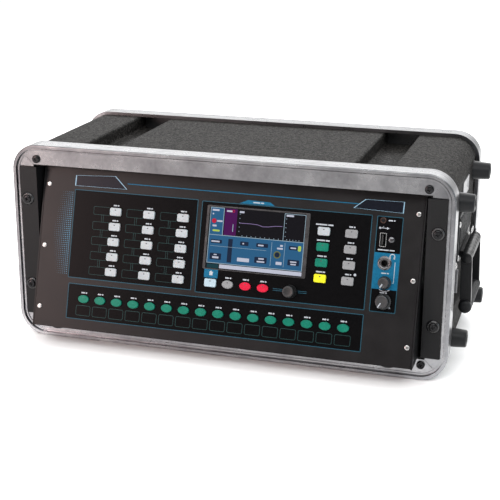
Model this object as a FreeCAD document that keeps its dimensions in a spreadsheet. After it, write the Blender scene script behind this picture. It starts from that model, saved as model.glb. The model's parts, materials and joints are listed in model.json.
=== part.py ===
import FreeCAD, Part
import math
import operator
import os

import Sketcher
from FreeCAD import Placement, Rotation, Vector

# A four-unit rack mixing console screwed into a shallow moulded carry case.
# Millimetres. +X is the object's right, +Y goes back into its depth, +Z is up, and the front
# faces -Y. The origin is the bottom centre of the object's bounding box.

DIMENSIONS = [
    # carry case
    ("case_half_width", 249.5, "outer side of the valances"),
    ("case_half_height", 113.5, "outer top of the valances"),
    ("case_corner", 30.5, "outer corner radius of the valances"),
    ("case_depth", 229.0, "front bead to rear bead"),
    ("band_wall", 4.0, "valance band thickness"),
    ("band_depth", 24.0, "valance band depth"),
    ("bead_proud", 3.5, "bead in front of the valance flange"),
    ("flange_wall", 2.0, "valance flange thickness"),
    ("rib_inset", 1.3, "groove width between the bead and the inner rib"),
    ("rib_width", 1.8, "inner rib of the valance"),
    ("rib_proud", 0.9, "inner rib in front of the flange"),
    ("bead_round", 1.6, "rounded front edge of the bead"),
    ("groove_deep", 0.9, "groove below the flange"),
    ("mitre_width", 0.7, "open joint at each valance corner"),
    ("mitre_deep", 0.8, "depth of that joint"),
    ("mitre_reach", 8.5, "its length beyond the window's corner"),
    ("mitre_start", 1.5, "its start inside the window's corner"),
    ("window_half_height", 90.5, "opening between the long flanges"),
    ("window_half_width", 241.3, "opening between the side lips"),
    ("tab_half_width", 225.0, "opening between the corner tabs"),
    ("tab_half_height", 88.0, "lower edge of the corner tabs"),
    ("shell_wall", 4.0, "moulded shell wall"),
    ("channel_inner", 136.0, "inner side of a top channel"),
    ("channel_outer", 177.0, "outer side of a top channel"),
    ("channel_deep", 16.5, "depth of a top channel"),
    ("channel_round", 3.0, "edge radius of the channels"),
    ("side_recess", 1.2, "depth of the flat panel in each side"),
    ("side_recess_half", 90.0, "half height of that flat panel"),
    ("side_recess_inset", 29.0, "distance of that flat panel from the beads"),
    # latch keepers
    ("keeper_inset", 5.2, "keeper behind the valance band"),
    ("keeper_wide", 22.0, "keeper plate along the case"),
    ("keeper_high", 32.0, "keeper plate height"),
    ("keeper_drop", 25.0, "its lower end below the case's centre"),
    ("keeper_plate_wall", 3.0, "keeper plate thickness"),
    ("keeper_lip_proud", 7.0, "keeper lip from the shell"),
    ("keeper_lip_wall", 2.5, "keeper lip thickness"),
    ("keeper_lip_margin", 3.0, "plate beyond the lip"),
    # rack hardware
    ("hole_span", 465.1, "between the rack hole columns"),
    ("unit_height", 44.45, "one rack unit"),
    ("rail_wall", 2.0, "rack rail thickness"),
    ("rail_inner", 225.0, "inner edge of a rail"),
    ("rail_outer", 241.2, "outer edge of a rail"),
    ("rail_deep", 26.0, "leg of a rail along the shell"),
    ("rail_tab_inner", 213.0, "inner edge of a rail's end tabs"),
    ("rail_half_height", 83.0, "half length of a rail's leg"),
    ("rail_tab_top", 102.0, "end of a rail's tabs above the centre"),
    ("rail_tab_high", 13.0, "height of a rail's tab"),
    ("rail_link_start", 78.0, "start of the link between flange and tab"),
    ("rail_link_high", 14.0, "height of that link"),
    ("rail_link_wide", 14.5, "width of that link"),
    ("rack_hole", 3.1, "radius of a rack hole"),
    ("valance_screw_x", 221.0, "valance screws across"),
    ("valance_screw_z", 96.65, "valance screws up"),
    ("valance_screw_hole", 2.1, "radius of their holes"),
    ("valance_head_radius", 4.7, "head of a valance screw"),
    ("valance_head_high", 2.6, "head of a valance screw"),
    ("valance_shank_radius", 2.0, "shank of a valance screw"),
    ("valance_shank_long", 11.0, "shank of a valance screw"),
    ("cup_radius", 7.5, "cup washer under a rack screw"),
    ("cup_high", 2.2, "cup washer under a rack screw"),
    ("cup_hole", 2.95, "radius of the washer's hole"),
    ("rack_head_radius", 4.9, "head of a rack screw"),
    ("rack_head_high", 2.4, "head of a rack screw"),
    ("rack_shank_radius", 2.9, "shank of a rack screw"),
    ("rack_shank_long", 18.0, "shank of a rack screw"),
    ("panel_screw_u", 210.35, "panel screws across"),
    ("panel_screw_v", 69.6, "outer panel screws up and down"),
    ("panel_head_radius", 2.75, "head of a panel screw"),
    ("panel_head_high", 1.3, "head of a panel screw"),
    ("panel_shank_radius", 1.45, "shank of a panel screw"),
    ("panel_shank_long", 7.0, "shank of a panel screw"),
    # mixer body
    ("panel_tilt", 16.7, "lean of the front panel, degrees"),
    ("panel_behind", 7.3, "panel centre in front of the valance bead"),
    ("panel_rise", 0.3, "panel centre above the case centre"),
    ("panel_half_width", 215.6, "front panel"),
    ("panel_top", 90.0, "top edge above the panel centre"),
    ("panel_bottom", 91.3, "bottom edge below the panel centre"),
    ("panel_wall", 2.0, "front panel thickness"),
    ("chassis_half_width", 217.5, "folded side plates"),
    ("chassis_half_height", 88.3, "folded top and bottom"),
    ("chassis_wall", 1.5, "sheet thickness of the chassis"),
    ("chassis_back", 176.0, "rear plate behind the valance bead"),
    ("ear_inner", 220.7, "inside of an ear"),
    ("ear_outer", 240.9, "outer edge of an ear"),
    ("ear_wall", 2.0, "ear thickness"),
    ("ear_half_height", 87.6, "half height of an ear"),
    ("ear_deep", 82.0, "ear's leg along the chassis"),
    ("ear_slot_half", 2.0, "half the straight part of an ear's slot"),
    ("ear_spacer_radius", 5.0, "spacer between ear and chassis"),
    ("chassis_flange_wide", 13.0, "folded flange behind the panel's ends"),
    ("chassis_flange_half", 85.0, "half height of that flange"),
    # keys
    ("key_proud", 2.2, "key above the panel"),
    ("key_gap", 0.3, "clearance round a key"),
    ("key_skirt", 1.0, "retaining skirt thickness"),
    ("key_skirt_wide", 0.9, "skirt beyond the cap"),
    ("key_stem", 2.0, "radius of a key's stem"),
    ("key_stem_long", 2.2, "length of a key's stem"),
    ("key_travel", 1.2, "travel of a key"),
    ("key_round", 0.6, "rounded top edge of a key"),
    ("pad_key_wide", 13.2, "rounded rectangular key"),
    ("pad_key_high", 8.9, "rounded rectangular key"),
    ("pad_key_corner", 1.8, "its corner radius"),
    ("oval_key_wide", 12.6, "oval key"),
    ("oval_key_high", 8.8, "oval key"),
    ("soft_first_u", -126.8, "first column of programmable keys"),
    ("soft_pitch_u", 39.85, "between their columns"),
    ("soft_first_v", 44.1, "first row"),
    ("soft_pitch_v", 16.88, "between their rows"),
    ("select_first_u", -156.8, "first channel select key"),
    ("select_pitch", 19.88, "between channel select keys"),
    ("select_v", -56.6, "row of channel select keys"),
    ("column_a_u", 111.6, "first key column right of the screen"),
    ("column_b_u", 141.5, "second key column"),
    ("column_first_v", 43.3, "top of those columns"),
    ("column_pitch", 16.73, "between their keys"),
    ("screen_row_v", -23.5, "row of controls under the screen"),
    # knobs
    ("knob_clear", 0.6, "gap under a knob"),
    ("shaft_radius", 3.0, "control shafts"),
    ("shaft_clear", 0.05, "running clearance of a shaft"),
    ("shaft_hole", 3.6, "panel hole round a shaft"),
    ("shaft_long", 10.0, "shaft behind the panel's face"),
    # screen and sockets
    ("screen_u", 37.6, "screen centre"),
    ("screen_v", 26.2, "screen centre"),
    ("screen_wide", 115.4, "glass and bezel"),
    ("screen_high", 69.8, "glass and bezel"),
    ("screen_corner", 1.5, "bezel corner radius"),
    ("screen_wall", 1.7, "glass and bezel thickness"),
    ("display_wall", 6.0, "display module thickness"),
    ("jack_u", 179.0, "headphone socket"),
    ("jack_v", 15.8, "headphone socket"),
    ("jack_bore", 3.25, "radius for a 6.35 mm plug"),
    ("jack_long", 26.0, "depth of the headphone bore"),
    ("usb_u", 175.2, "USB socket"),
    ("usb_v", 40.0, "USB socket"),
    # boards
    ("board_drop", 11.0, "key board behind the panel's face"),
    ("board_wall", 1.6, "circuit board thickness"),
    # handles and feet
    ("pivot_x", 255.0, "handle pivot"),
    ("pivot_z", 118.5, "handle pivot above the floor"),
    ("pivot_radius", 3.0, "handle pin"),
    ("knuckle_radius", 6.6, "bracket knuckle"),
    ("eye_radius", 6.2, "eyes of the handle arms"),
    ("grip_x", 256.6, "grip centre"),
    ("grip_drop", 56.0, "grip below the pivot"),
    ("grip_radius", 7.5, "grip"),
    ("plate_wall", 4.0, "handle bracket plate"),
    ("foot_tip", 264.3, "end of the side feet"),
    ("foot_base_radius", 11.0, "side foot at the shell"),
    ("foot_tip_radius", 9.3, "side foot at its end"),
    ("foot_z", 76.0, "side feet above and below the centre"),
    ("foot_front", 41.0, "front feet behind the bead"),
    ("under_foot_radius", 9.0, "foot under the mixer"),
    ("under_foot_high", 3.0, "foot under the mixer"),
    ("under_foot_x", 190.0, "feet under the mixer across"),
    ("knuckle_front", 85.0, "front of the bracket's knuckle behind the bead"),
    ("knuckle_rear", 151.0, "rear of the bracket's knuckle behind the bead"),
    ("bracket_front", 60.0, "bracket plate behind the bead"),
    ("bracket_long", 102.0, "bracket plate along the case"),
    ("bracket_high", 58.0, "bracket plate height"),
    ("bracket_drop", 10.0, "bracket plate below the pivot"),
    ("web_high", 8.0, "web between plate and knuckle"),
    ("handle_gap", 0.35, "gap between knuckle and eyes"),
    ("front_eye_long", 14.0, "front eye of a handle"),
    ("rear_eye_long", 8.0, "rear eye of a handle"),
    ("pin_front", 12.0, "pin in front of the knuckle"),
    ("pin_rear", 7.0, "pin behind the knuckle"),
    ("arm_thick", 4.0, "handle arm thickness"),
    ("arm_wide", 7.0, "handle arm width"),
    ("grip_front", 16.0, "grip in front of the knuckle"),
    ("grip_rear", 9.0, "grip behind the knuckle"),
]

doc = FreeCAD.newDocument("rack_mixing_console")
sheet = doc.addObject("Spreadsheet::Sheet", "Dims")
nodes = []


class Size:
    """A length or angle: its number, and the same value as a sheet expression."""

    def __init__(self, number, text):
        self.number = number
        self.text = text

    def __add__(self, other):
        return combine(self, other, "+")

    def __radd__(self, other):
        return combine(other, self, "+")

    def __sub__(self, other):
        return combine(self, other, "-")

    def __rsub__(self, other):
        return combine(other, self, "-")

    def __mul__(self, other):
        return combine(self, other, "*")

    def __rmul__(self, other):
        return combine(other, self, "*")

    def __truediv__(self, other):
        return combine(self, other, "/")

    def __neg__(self):
        return combine(0.0, self, "-")


SIGNS = {"+": operator.add, "-": operator.sub, "*": operator.mul, "/": operator.truediv}


def as_size(value):
    return value if isinstance(value, Size) else Size(float(value), "(%r)" % float(value))


def combine(left, right, sign):
    left, right = as_size(left), as_size(right)
    return Size(SIGNS[sign](left.number, right.number), "(%s %s %s)" % (left.text, sign, right.text))


def fill_sheet():
    """Write the driving dimensions and return them as named sizes."""
    class Named:
        pass
    named = Named()
    for row, (alias, value, note) in enumerate(DIMENSIONS, 1):
        sheet.set("A%d" % row, note)
        sheet.set("B%d" % row, str(value))
        sheet.setAlias("B%d" % row, alias)
        setattr(named, alias, Size(value, "Dims." + alias))
    doc.recompute()
    return named


d = fill_sheet()

# ---------------------------------------------------------------- derived places

tilt_sin = Size(math.sin(math.radians(d.panel_tilt.number)), "sin(%s)" % d.panel_tilt.text)
tilt_cos = Size(math.cos(math.radians(d.panel_tilt.number)), "cos(%s)" % d.panel_tilt.text)
panel_slope = tilt_sin / tilt_cos
front_overhang = d.panel_behind + (d.chassis_half_height + d.panel_rise) * panel_slope
case_front = (front_overhang - d.case_depth) / 2
case_rear = case_front + d.case_depth
case_middle = case_front + d.case_depth / 2
centre_z = d.case_half_height
flange_front = case_front + d.bead_proud
flange_back = flange_front + d.flange_wall
rack_plane = case_front + 1.0
side_face = d.case_half_width - d.band_wall - d.side_recess
FACING_FRONT = Rotation(Vector(1, 0, 0), 90)
FACING_RIGHT = Rotation(Vector(0, 1, 0), 90)
FACING_LEFT = Rotation(Vector(0, 1, 0), -90)
ALONG_DEPTH = Rotation(Vector(1, 0, 0), -90)
ON_PANEL = Rotation(Vector(1, 0, 0), 90 - d.panel_tilt.number)


def on_panel(u, v, out=0.0):
    """Position of a point u across, v up and out in front of the tilted panel."""
    y = case_front - d.panel_behind + v * tilt_sin - out * tilt_cos
    z = centre_z + d.panel_rise + v * tilt_cos + out * tilt_sin
    return u, y, z


# ---------------------------------------------------------------- modelling helpers

def bind(thing, prop, size):
    thing.setExpression(prop, as_size(size).text)


def place(thing, position, rotation=Rotation()):
    x, y, z = [as_size(value) for value in position]
    thing.Placement = Placement(Vector(x.number, y.number, z.number), rotation)
    for axis, size in zip("xyz", (x, y, z)):
        bind(thing, "Placement.Base." + axis, size)


def node(thing, label):
    """Name a finished sub-part; its label is its file name."""
    thing.Label = label
    nodes.append(thing)
    return thing


def box(name, corner, lengths, rotation=Rotation()):
    """Part box from its low corner."""
    thing = doc.addObject("Part::Box", name)
    for prop, size in zip(("Length", "Width", "Height"), lengths):
        bind(thing, prop, size)
    place(thing, corner, rotation)
    return thing


def cylinder(name, start, radius, length, rotation=Rotation()):
    """Part cylinder from the centre of its first end."""
    thing = doc.addObject("Part::Cylinder", name)
    bind(thing, "Radius", radius)
    bind(thing, "Height", length)
    place(thing, start, rotation)
    return thing


def cone(name, start, radius, end_radius, length, rotation=Rotation()):
    thing = doc.addObject("Part::Cone", name)
    bind(thing, "Radius1", radius)
    bind(thing, "Radius2", end_radius)
    bind(thing, "Height", length)
    place(thing, start, rotation)
    return thing


def fuse(name, things):
    thing = doc.addObject("Part::MultiFuse", name)
    thing.Shapes = things
    thing.Refine = True
    return thing


def cut(name, base, tools):
    thing = doc.addObject("Part::Cut", name)
    thing.Base = base
    thing.Tool = tools[0] if len(tools) == 1 else fuse(name + "_tools", tools)
    return thing


def mirrored(name, source, normal, base=Vector(0, 0, 0)):
    thing = doc.addObject("Part::Mirroring", name)
    thing.Source = source
    thing.Normal = normal
    thing.Base = base
    return thing


def group(name, things):
    """Several separate solids kept together in one sub-part."""
    thing = doc.addObject("Part::Compound", name)
    thing.Links = things
    return thing


def new_body(name, position, rotation):
    body = doc.addObject("PartDesign::Body", name)
    place(body, position, rotation)
    return body


def new_sketch(body, name, level=0.0):
    """Sketch parallel to the body's XY plane, at a height of level."""
    sketch = body.newObject("Sketcher::SketchObject", name)
    plane = [item for item in body.Origin.OriginFeatures if item.Role == "XY_Plane"][0]
    sketch.AttachmentSupport = [(plane, "")]
    sketch.MapMode = "FlatFace"
    bind(sketch, "AttachmentOffset.Base.z", level)
    return sketch


def constrain(sketch, fixed, driven):
    """Add plain constraints, then ones whose value comes from the sheet."""
    first = sketch.ConstraintCount + len(fixed)
    sketch.addConstraint(fixed + [Sketcher.Constraint(kind, *places, as_size(size).number)
                                  for kind, places, size in driven])
    for index, (kind, places, size) in enumerate(driven, first):
        bind(sketch, "Constraints[%d]" % index, size)


def draw_rectangle(sketch, half_x, half_y, radius, centre=(0.0, 0.0)):
    """Rectangle with round corners about a centre."""
    half_x, half_y, radius = as_size(half_x), as_size(half_y), as_size(radius)
    middle_x, middle_y = as_size(centre[0]), as_size(centre[1])
    inner = [(half_x - radius, half_y - radius), (radius - half_x, half_y - radius),
             (radius - half_x, radius - half_y), (half_x - radius, radius - half_y)]
    inner = [(middle_x + x, middle_y + y) for x, y in inner]
    first = sketch.GeometryCount
    for corner, (x, y) in enumerate(inner):
        arc = Part.Circle(Vector(x.number, y.number, 0), Vector(0, 0, 1), radius.number)
        start = corner * math.pi / 2
        sketch.addGeometry(Part.ArcOfCircle(arc, start, start + math.pi / 2), False)
    for corner in range(4):
        start = sketch.Geometry[first + corner].EndPoint
        end = sketch.Geometry[first + (corner + 1) % 4].StartPoint
        sketch.addGeometry(Part.LineSegment(start, end), False)
    fixed = []
    for corner in range(4):
        line = first + 4 + corner
        fixed.append(Sketcher.Constraint("Tangent", first + corner, 2, line, 1))
        fixed.append(Sketcher.Constraint("Tangent", line, 2, first + (corner + 1) % 4, 1))
    driven = []
    for corner, (x, y) in enumerate(inner):
        driven.append(("DistanceX", (-1, 1, first + corner, 3), x))
        driven.append(("DistanceY", (-1, 1, first + corner, 3), y))
        driven.append(("Radius", (first + corner,), radius))
    constrain(sketch, fixed, driven)


def draw_polygon(sketch, points):
    """Closed outline whose corners are each held from the sketch's origin."""
    points = [(as_size(x), as_size(y)) for x, y in points]
    first = sketch.GeometryCount
    count = len(points)
    for corner in range(count):
        start, end = points[corner], points[(corner + 1) % count]
        segment = Part.LineSegment(Vector(start[0].number, start[1].number, 0),
                                   Vector(end[0].number, end[1].number, 0))
        sketch.addGeometry(segment, False)
    fixed = [Sketcher.Constraint("Coincident", first + corner, 2, first + (corner + 1) % count, 1)
             for corner in range(count)]
    driven = []
    for corner, (x, y) in enumerate(points):
        driven.append(("DistanceX", (-1, 1, first + corner, 1), x))
        driven.append(("DistanceY", (-1, 1, first + corner, 1), y))
    constrain(sketch, fixed, driven)


def draw_circle(sketch, radius, centre=(0.0, 0.0)):
    radius = as_size(radius)
    x, y = as_size(centre[0]), as_size(centre[1])
    index = sketch.addGeometry(Part.Circle(Vector(x.number, y.number, 0), Vector(0, 0, 1), radius.number),
                               False)
    constrain(sketch, [], [("DistanceX", (-1, 1, index, 3), x),
                           ("DistanceY", (-1, 1, index, 3), y),
                           ("Radius", (index,), radius)])


def draw_ellipse(sketch, half_x, half_y, centre=(0.0, 0.0)):
    half_x, half_y = as_size(half_x), as_size(half_y)
    x, y = as_size(centre[0]), as_size(centre[1])
    ellipse = Part.Ellipse(Vector(x.number, y.number, 0), half_x.number, half_y.number)
    index = sketch.addGeometry(ellipse, False)
    sketch.exposeInternalGeometry(index)
    constrain(sketch, [Sketcher.Constraint("Horizontal", index + 1)],
              [("DistanceX", (-1, 1, index, 3), x),
               ("DistanceY", (-1, 1, index, 3), y),
               ("Distance", (index + 1,), half_x * 2),
               ("Distance", (index + 2,), half_y * 2)])


def pad(body, sketch, length, backwards=False):
    feature = body.newObject("PartDesign::Pad", sketch.Name + "_pad")
    feature.Profile = sketch
    bind(feature, "Length", length)
    feature.Reversed = backwards
    return feature


def pocket(body, sketch, depth):
    """Cut from the sketch towards the body's -Z."""
    feature = body.newObject("PartDesign::Pocket", sketch.Name + "_pocket")
    feature.Profile = sketch
    bind(feature, "Length", depth)
    feature.Reversed = False
    return feature


def repeat(body, sketch, feature, step, count):
    """Repeat a feature along the sketch's X axis."""
    pattern = body.newObject("PartDesign::LinearPattern", feature.Name + "_row")
    pattern.Originals = [feature]
    pattern.Direction = (sketch, ["H_Axis"])
    bind(pattern, "Length", as_size(step) * (count - 1))
    pattern.Occurrences = count
    body.Tip = pattern


def round_edges(body, feature, radius, wanted):
    """Fillet the edges of the body's last feature that the test picks."""
    doc.recompute()
    names = ["Edge%d" % index for index, edge in enumerate(feature.Shape.Edges, 1) if wanted(edge)]
    fillet = body.newObject("PartDesign::Fillet", feature.Name + "_round")
    fillet.Base = (feature, names)
    bind(fillet, "Radius", radius)
    return fillet


def upright_at(corners):
    """Test for edges along Z that stand at one of the given corners."""
    spots = [(as_size(x).number, as_size(y).number) for x, y in corners]

    def wanted(edge):
        ends = [vertex.Point for vertex in edge.Vertexes]
        if len(ends) != 2 or math.hypot(ends[0].x - ends[1].x, ends[0].y - ends[1].y) > 0.01:
            return False
        return any(math.hypot(ends[0].x - x, ends[0].y - y) < 0.01 for x, y in spots)
    return wanted


def flat_at(level):
    """Test for edges that lie wholly at one height."""
    height = as_size(level).number
    return lambda edge: abs(edge.BoundBox.ZMin - height) < 0.01 and abs(edge.BoundBox.ZMax - height) < 0.01


# ---------------------------------------------------------------- carry case

def make_shell():
    """Moulded sleeve, open at the front and back, with two channels along its top."""
    half_x = d.case_half_width - d.band_wall
    half_z = d.case_half_height - d.band_wall
    wall = d.shell_wall
    inner_x, inner_z = half_x - wall, half_z - wall

    def outline(x, z, near, far, floor):
        return [(-x, -z), (x, -z), (x, z), (far, z), (far, floor), (near, floor), (near, z),
                (-near, z), (-near, floor), (-far, floor), (-far, z), (-x, z)]

    near, far, floor = d.channel_inner, d.channel_outer, half_z - d.channel_deep
    outer = outline(half_x, half_z, near, far, floor)
    inner = outline(inner_x, inner_z, near - wall, far + wall, floor - wall)
    body = new_body("shell_body", (0.0, flange_back, centre_z), FACING_FRONT)
    sketch = new_sketch(body, "shell_outline")
    draw_polygon(sketch, outer)
    draw_polygon(sketch, inner)
    length = d.case_depth - (d.bead_proud + d.flange_wall) * 2
    sleeve = pad(body, sketch, length, backwards=True)
    corner = d.case_corner - d.band_wall
    sleeve = round_edges(body, sleeve, corner, upright_at([outer[0], outer[1], outer[2], outer[11]]))
    sleeve = round_edges(body, sleeve, corner - wall,
                         upright_at([inner[0], inner[1], inner[2], inner[11]]))
    round_edges(body, sleeve, d.channel_round, upright_at(outer[3:11] + inner[3:11]))
    recess_length = d.case_depth - d.side_recess_inset * 2
    recess = [box("side_recess_" + side, (x, case_front + d.side_recess_inset,
                                          centre_z - d.side_recess_half),
                  (d.side_recess * 2, recess_length, d.side_recess_half * 2))
              for side, x in (("right", side_face), ("left", -side_face - d.side_recess * 2))]
    node(cut("shell", body, recess), "case_shell")


def make_valance():
    """Aluminium edge frame: outer band, bead, groove, rib and flange with corner tabs."""
    body = new_body("valance_body", (0.0, case_front, centre_z), FACING_FRONT)
    half_x, half_z, corner = d.case_half_width, d.case_half_height, d.case_corner
    band = new_sketch(body, "band")
    draw_rectangle(band, half_x, half_z, corner)
    block = pad(body, band, d.band_depth, backwards=True)
    block = round_edges(body, block, d.bead_round, flat_at(0.0))

    inner_x, inner_z, inner_corner = half_x - d.band_wall, half_z - d.band_wall, corner - d.band_wall
    front = new_sketch(body, "front_recess")
    draw_rectangle(front, inner_x, inner_z, inner_corner)
    pocket(body, front, d.bead_proud - d.rib_proud)
    groove = new_sketch(body, "groove", d.rib_proud - d.bead_proud)
    draw_rectangle(groove, inner_x, inner_z, inner_corner)
    inset = d.rib_inset
    draw_rectangle(groove, inner_x - inset, inner_z - inset, inner_corner - inset)
    pocket(body, groove, d.rib_proud + d.groove_deep)
    flange = new_sketch(body, "flange_face", d.rib_proud - d.bead_proud)
    inset = d.rib_inset + d.rib_width
    draw_rectangle(flange, inner_x - inset, inner_z - inset, inner_corner - inset)
    pocket(body, flange, d.rib_proud)

    seat = new_sketch(body, "shell_seat", -(d.bead_proud + d.flange_wall))
    draw_rectangle(seat, inner_x, inner_z, inner_corner)
    pocket(body, seat, d.band_depth)

    window = new_sketch(body, "window")
    tab_x, tab_z = d.tab_half_width, d.tab_half_height
    wide, high = d.window_half_width, d.window_half_height
    draw_polygon(window, [(-tab_x, high), (tab_x, high), (tab_x, tab_z), (wide, tab_z),
                          (wide, -tab_z), (tab_x, -tab_z), (tab_x, -high), (-tab_x, -high),
                          (-tab_x, -tab_z), (-wide, -tab_z), (-wide, tab_z), (-tab_x, tab_z)])
    pocket(body, window, d.band_depth)

    mitres = new_sketch(body, "mitres", -d.bead_proud)
    for across in (1, -1):
        for up in (1, -1):
            near_x, near_z = (tab_x - d.mitre_start) * across, (high - d.mitre_start) * up
            far_x, far_z = (tab_x + d.mitre_reach) * across, (high + d.mitre_reach) * up
            half = d.mitre_width / 2
            draw_polygon(mitres, [(near_x - half, near_z), (near_x + half, near_z),
                                  (far_x + half, far_z), (far_x - half, far_z)])
    pocket(body, mitres, d.mitre_deep)

    holes = new_sketch(body, "screw_holes")
    for across in (1, -1):
        for up in (1, -1):
            draw_circle(holes, d.valance_screw_hole, (d.valance_screw_x * across, d.valance_screw_z * up))
    pocket(body, holes, d.band_depth)
    return body


def make_keeper():
    """Latch keeper for a lid, on the right side behind the front valance."""
    y = case_front + d.band_depth + d.keeper_inset
    low, margin = centre_z - d.keeper_drop, d.keeper_lip_margin
    plate = box("keeper_plate", (side_face, y, low), (d.keeper_plate_wall, d.keeper_wide, d.keeper_high))
    lip = box("keeper_lip", (side_face, y + margin, low + margin),
              (d.keeper_lip_proud, d.keeper_lip_wall, d.keeper_high - margin * 2))
    return fuse("keeper", [plate, lip])


def make_valance_set():
    """Both valances and the four latch keepers."""
    front = make_valance()
    middle = Vector(0, case_middle.number, 0)
    backwards, across = Vector(0, 1, 0), Vector(1, 0, 0)
    rear = mirrored("rear_valance", front, backwards, middle)
    keeper = make_keeper()
    keeper_rear = mirrored("keeper_rear", keeper, backwards, middle)
    keepers = [keeper, keeper_rear, mirrored("keeper_left", keeper, across),
               mirrored("keeper_rear_left", keeper_rear, across)]
    node(group("valance_parts", [front, rear] + keepers), "valance_set")


# The three holes of a rack unit above its lower edge, and the holes of a four-unit opening that
# the rack screws use.
UNIT_HOLES = (6.35, 22.225, 38.1)
USED_HOLES = (2, 9)


def rack_hole_heights():
    """The twelve rack hole heights of a four-unit opening, from its centre."""
    heights = []
    for unit in range(-2, 2):
        for offset in UNIT_HOLES:
            heights.append(d.unit_height * unit + offset)
    return heights


def make_rails():
    """Four steel rails, one behind each end of the valances."""
    wall, back = d.rail_wall, flange_back
    flange = box("rail_flange", (d.rail_inner, back - wall, centre_z - d.tab_half_height + 0.5),
                 (d.rail_outer - d.rail_inner, wall, d.tab_half_height * 2 - 1))
    leg = box("rail_leg", (d.rail_outer - wall, back, centre_z - d.rail_half_height),
              (wall, d.rail_deep, d.rail_half_height * 2))
    tabs = []
    for up, low in ((1, 0), (-1, -1)):
        link_z = centre_z + d.rail_link_start * up + d.rail_link_high * low
        tabs.append(box("rail_link_%d" % len(tabs), (d.rail_inner - 1, back, link_z),
                        (d.rail_link_wide, wall, d.rail_link_high)))
        tab_high = d.rail_tab_high
        tab_z = centre_z + (d.rail_tab_top - tab_high) * up + tab_high * low
        tabs.append(box("rail_tab_%d" % len(tabs), (d.rail_tab_inner, back, tab_z),
                        (d.rail_inner + 4 - d.rail_tab_inner, wall, tab_high)))
    holes = [cylinder("rail_hole_%d" % index, (d.hole_span / 2, rack_plane - 5, centre_z + height),
                      d.rack_hole, 20.0, ALONG_DEPTH)
             for index, height in enumerate(rack_hole_heights())]
    holes += [cylinder("rail_screw_hole_%d" % index, (d.valance_screw_x, rack_plane - 5,
                                                      centre_z + d.valance_screw_z * up),
                       d.valance_screw_hole, 20.0, ALONG_DEPTH)
              for index, up in enumerate((1, -1))]
    rail = cut("rail", fuse("rail_blank", [flange, leg] + tabs), holes)
    rear = mirrored("rail_rear", rail, Vector(0, 1, 0), Vector(0, case_middle.number, 0))
    across = Vector(1, 0, 0)
    node(group("rails", [rear, mirrored("rail_rear_left", rear, across), rail,
                         mirrored("rail_left", rail, across)]), "rack_rails")


# Top of a screw head or washer, as a share of its radius at the seat.
HEAD_TAPER = 0.73


def panel_screw_places():
    """Places of the six screws that hold the front panel."""
    return [(d.panel_screw_u * across, d.panel_screw_v * up) for across in (-1, 1) for up in (-1, 0, 1)]


def make_screws():
    """Valance screws, rack screws with their cup washers, and the panel's screws."""
    things = []
    for face, rotation, seat, inward in (("front", FACING_FRONT, flange_front, 1),
                                         ("rear", ALONG_DEPTH, case_rear - d.bead_proud, -1)):
        back = ALONG_DEPTH if inward > 0 else FACING_FRONT
        for across in (1, -1):
            for up in (1, -1):
                spot = (d.valance_screw_x * across, seat, centre_z + d.valance_screw_z * up)
                name = "valance_screw_%s_%d" % (face, len(things))
                head = cone(name + "_head", spot, d.valance_head_radius, d.valance_head_radius * HEAD_TAPER,
                            d.valance_head_high, rotation)
                shank = cylinder(name + "_shank", spot, d.valance_shank_radius, d.valance_shank_long, back)
                things.append(fuse(name, [head, shank]))
    for across in (1, -1):
        for index in USED_HOLES:
            spot = (d.hole_span / 2 * across, rack_plane, centre_z + rack_hole_heights()[index])
            name = "rack_screw_%d" % len(things)
            top = (spot[0], rack_plane - d.cup_high, spot[2])
            washer_blank = cone(name + "_washer_blank", spot, d.cup_radius, d.cup_radius * HEAD_TAPER,
                                d.cup_high, FACING_FRONT)
            washer_hole = cylinder(name + "_washer_hole", top, d.cup_hole, d.cup_high * 2, ALONG_DEPTH)
            things.append(cut(name + "_washer", washer_blank, [washer_hole]))
            head = cone(name + "_head", top, d.rack_head_radius, d.rack_head_radius * HEAD_TAPER,
                        d.rack_head_high, FACING_FRONT)
            shank = cylinder(name + "_shank", top, d.rack_shank_radius, d.rack_shank_long, ALONG_DEPTH)
            things.append(fuse(name, [head, shank]))
    for u, v in panel_screw_places():
        name = "panel_screw_%d" % len(things)
        head = cone(name + "_head", on_panel(u, v), d.panel_head_radius, d.panel_head_radius * HEAD_TAPER,
                    d.panel_head_high, ON_PANEL)
        shank = cylinder(name + "_shank", on_panel(u, v, -d.panel_shank_long), d.panel_shank_radius,
                         d.panel_shank_long, ON_PANEL)
        things.append(fuse(name, [head, shank]))
    node(group("screw_parts", things), "screws")


# ---------------------------------------------------------------- feet and handles

def make_feet():
    """Eight feet on the case's sides, and four under the mixer."""
    things = []
    length = d.foot_tip - side_face
    for side, rotation in ((1, FACING_RIGHT), (-1, FACING_LEFT)):
        for y in (case_front + d.foot_front, case_rear - d.foot_front):
            for up in (1, -1):
                spot = (side_face * side, y, centre_z + d.foot_z * up)
                things.append(cone("side_foot_%d" % len(things), spot, d.foot_base_radius,
                                   d.foot_tip_radius, length, rotation))
    underside = centre_z - d.chassis_half_height
    downwards = Rotation(Vector(1, 0, 0), 180)
    front_foot = on_panel(0.0, -d.panel_bottom)[1] + 14.0
    for side in (1, -1):
        for y in (front_foot, case_front + d.chassis_back - 18):
            things.append(cylinder("mixer_foot_%d" % len(things), (d.under_foot_x * side, y, underside),
                                   d.under_foot_radius, d.under_foot_high, downwards))
    node(group("feet", things), "rubber_feet")


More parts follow.
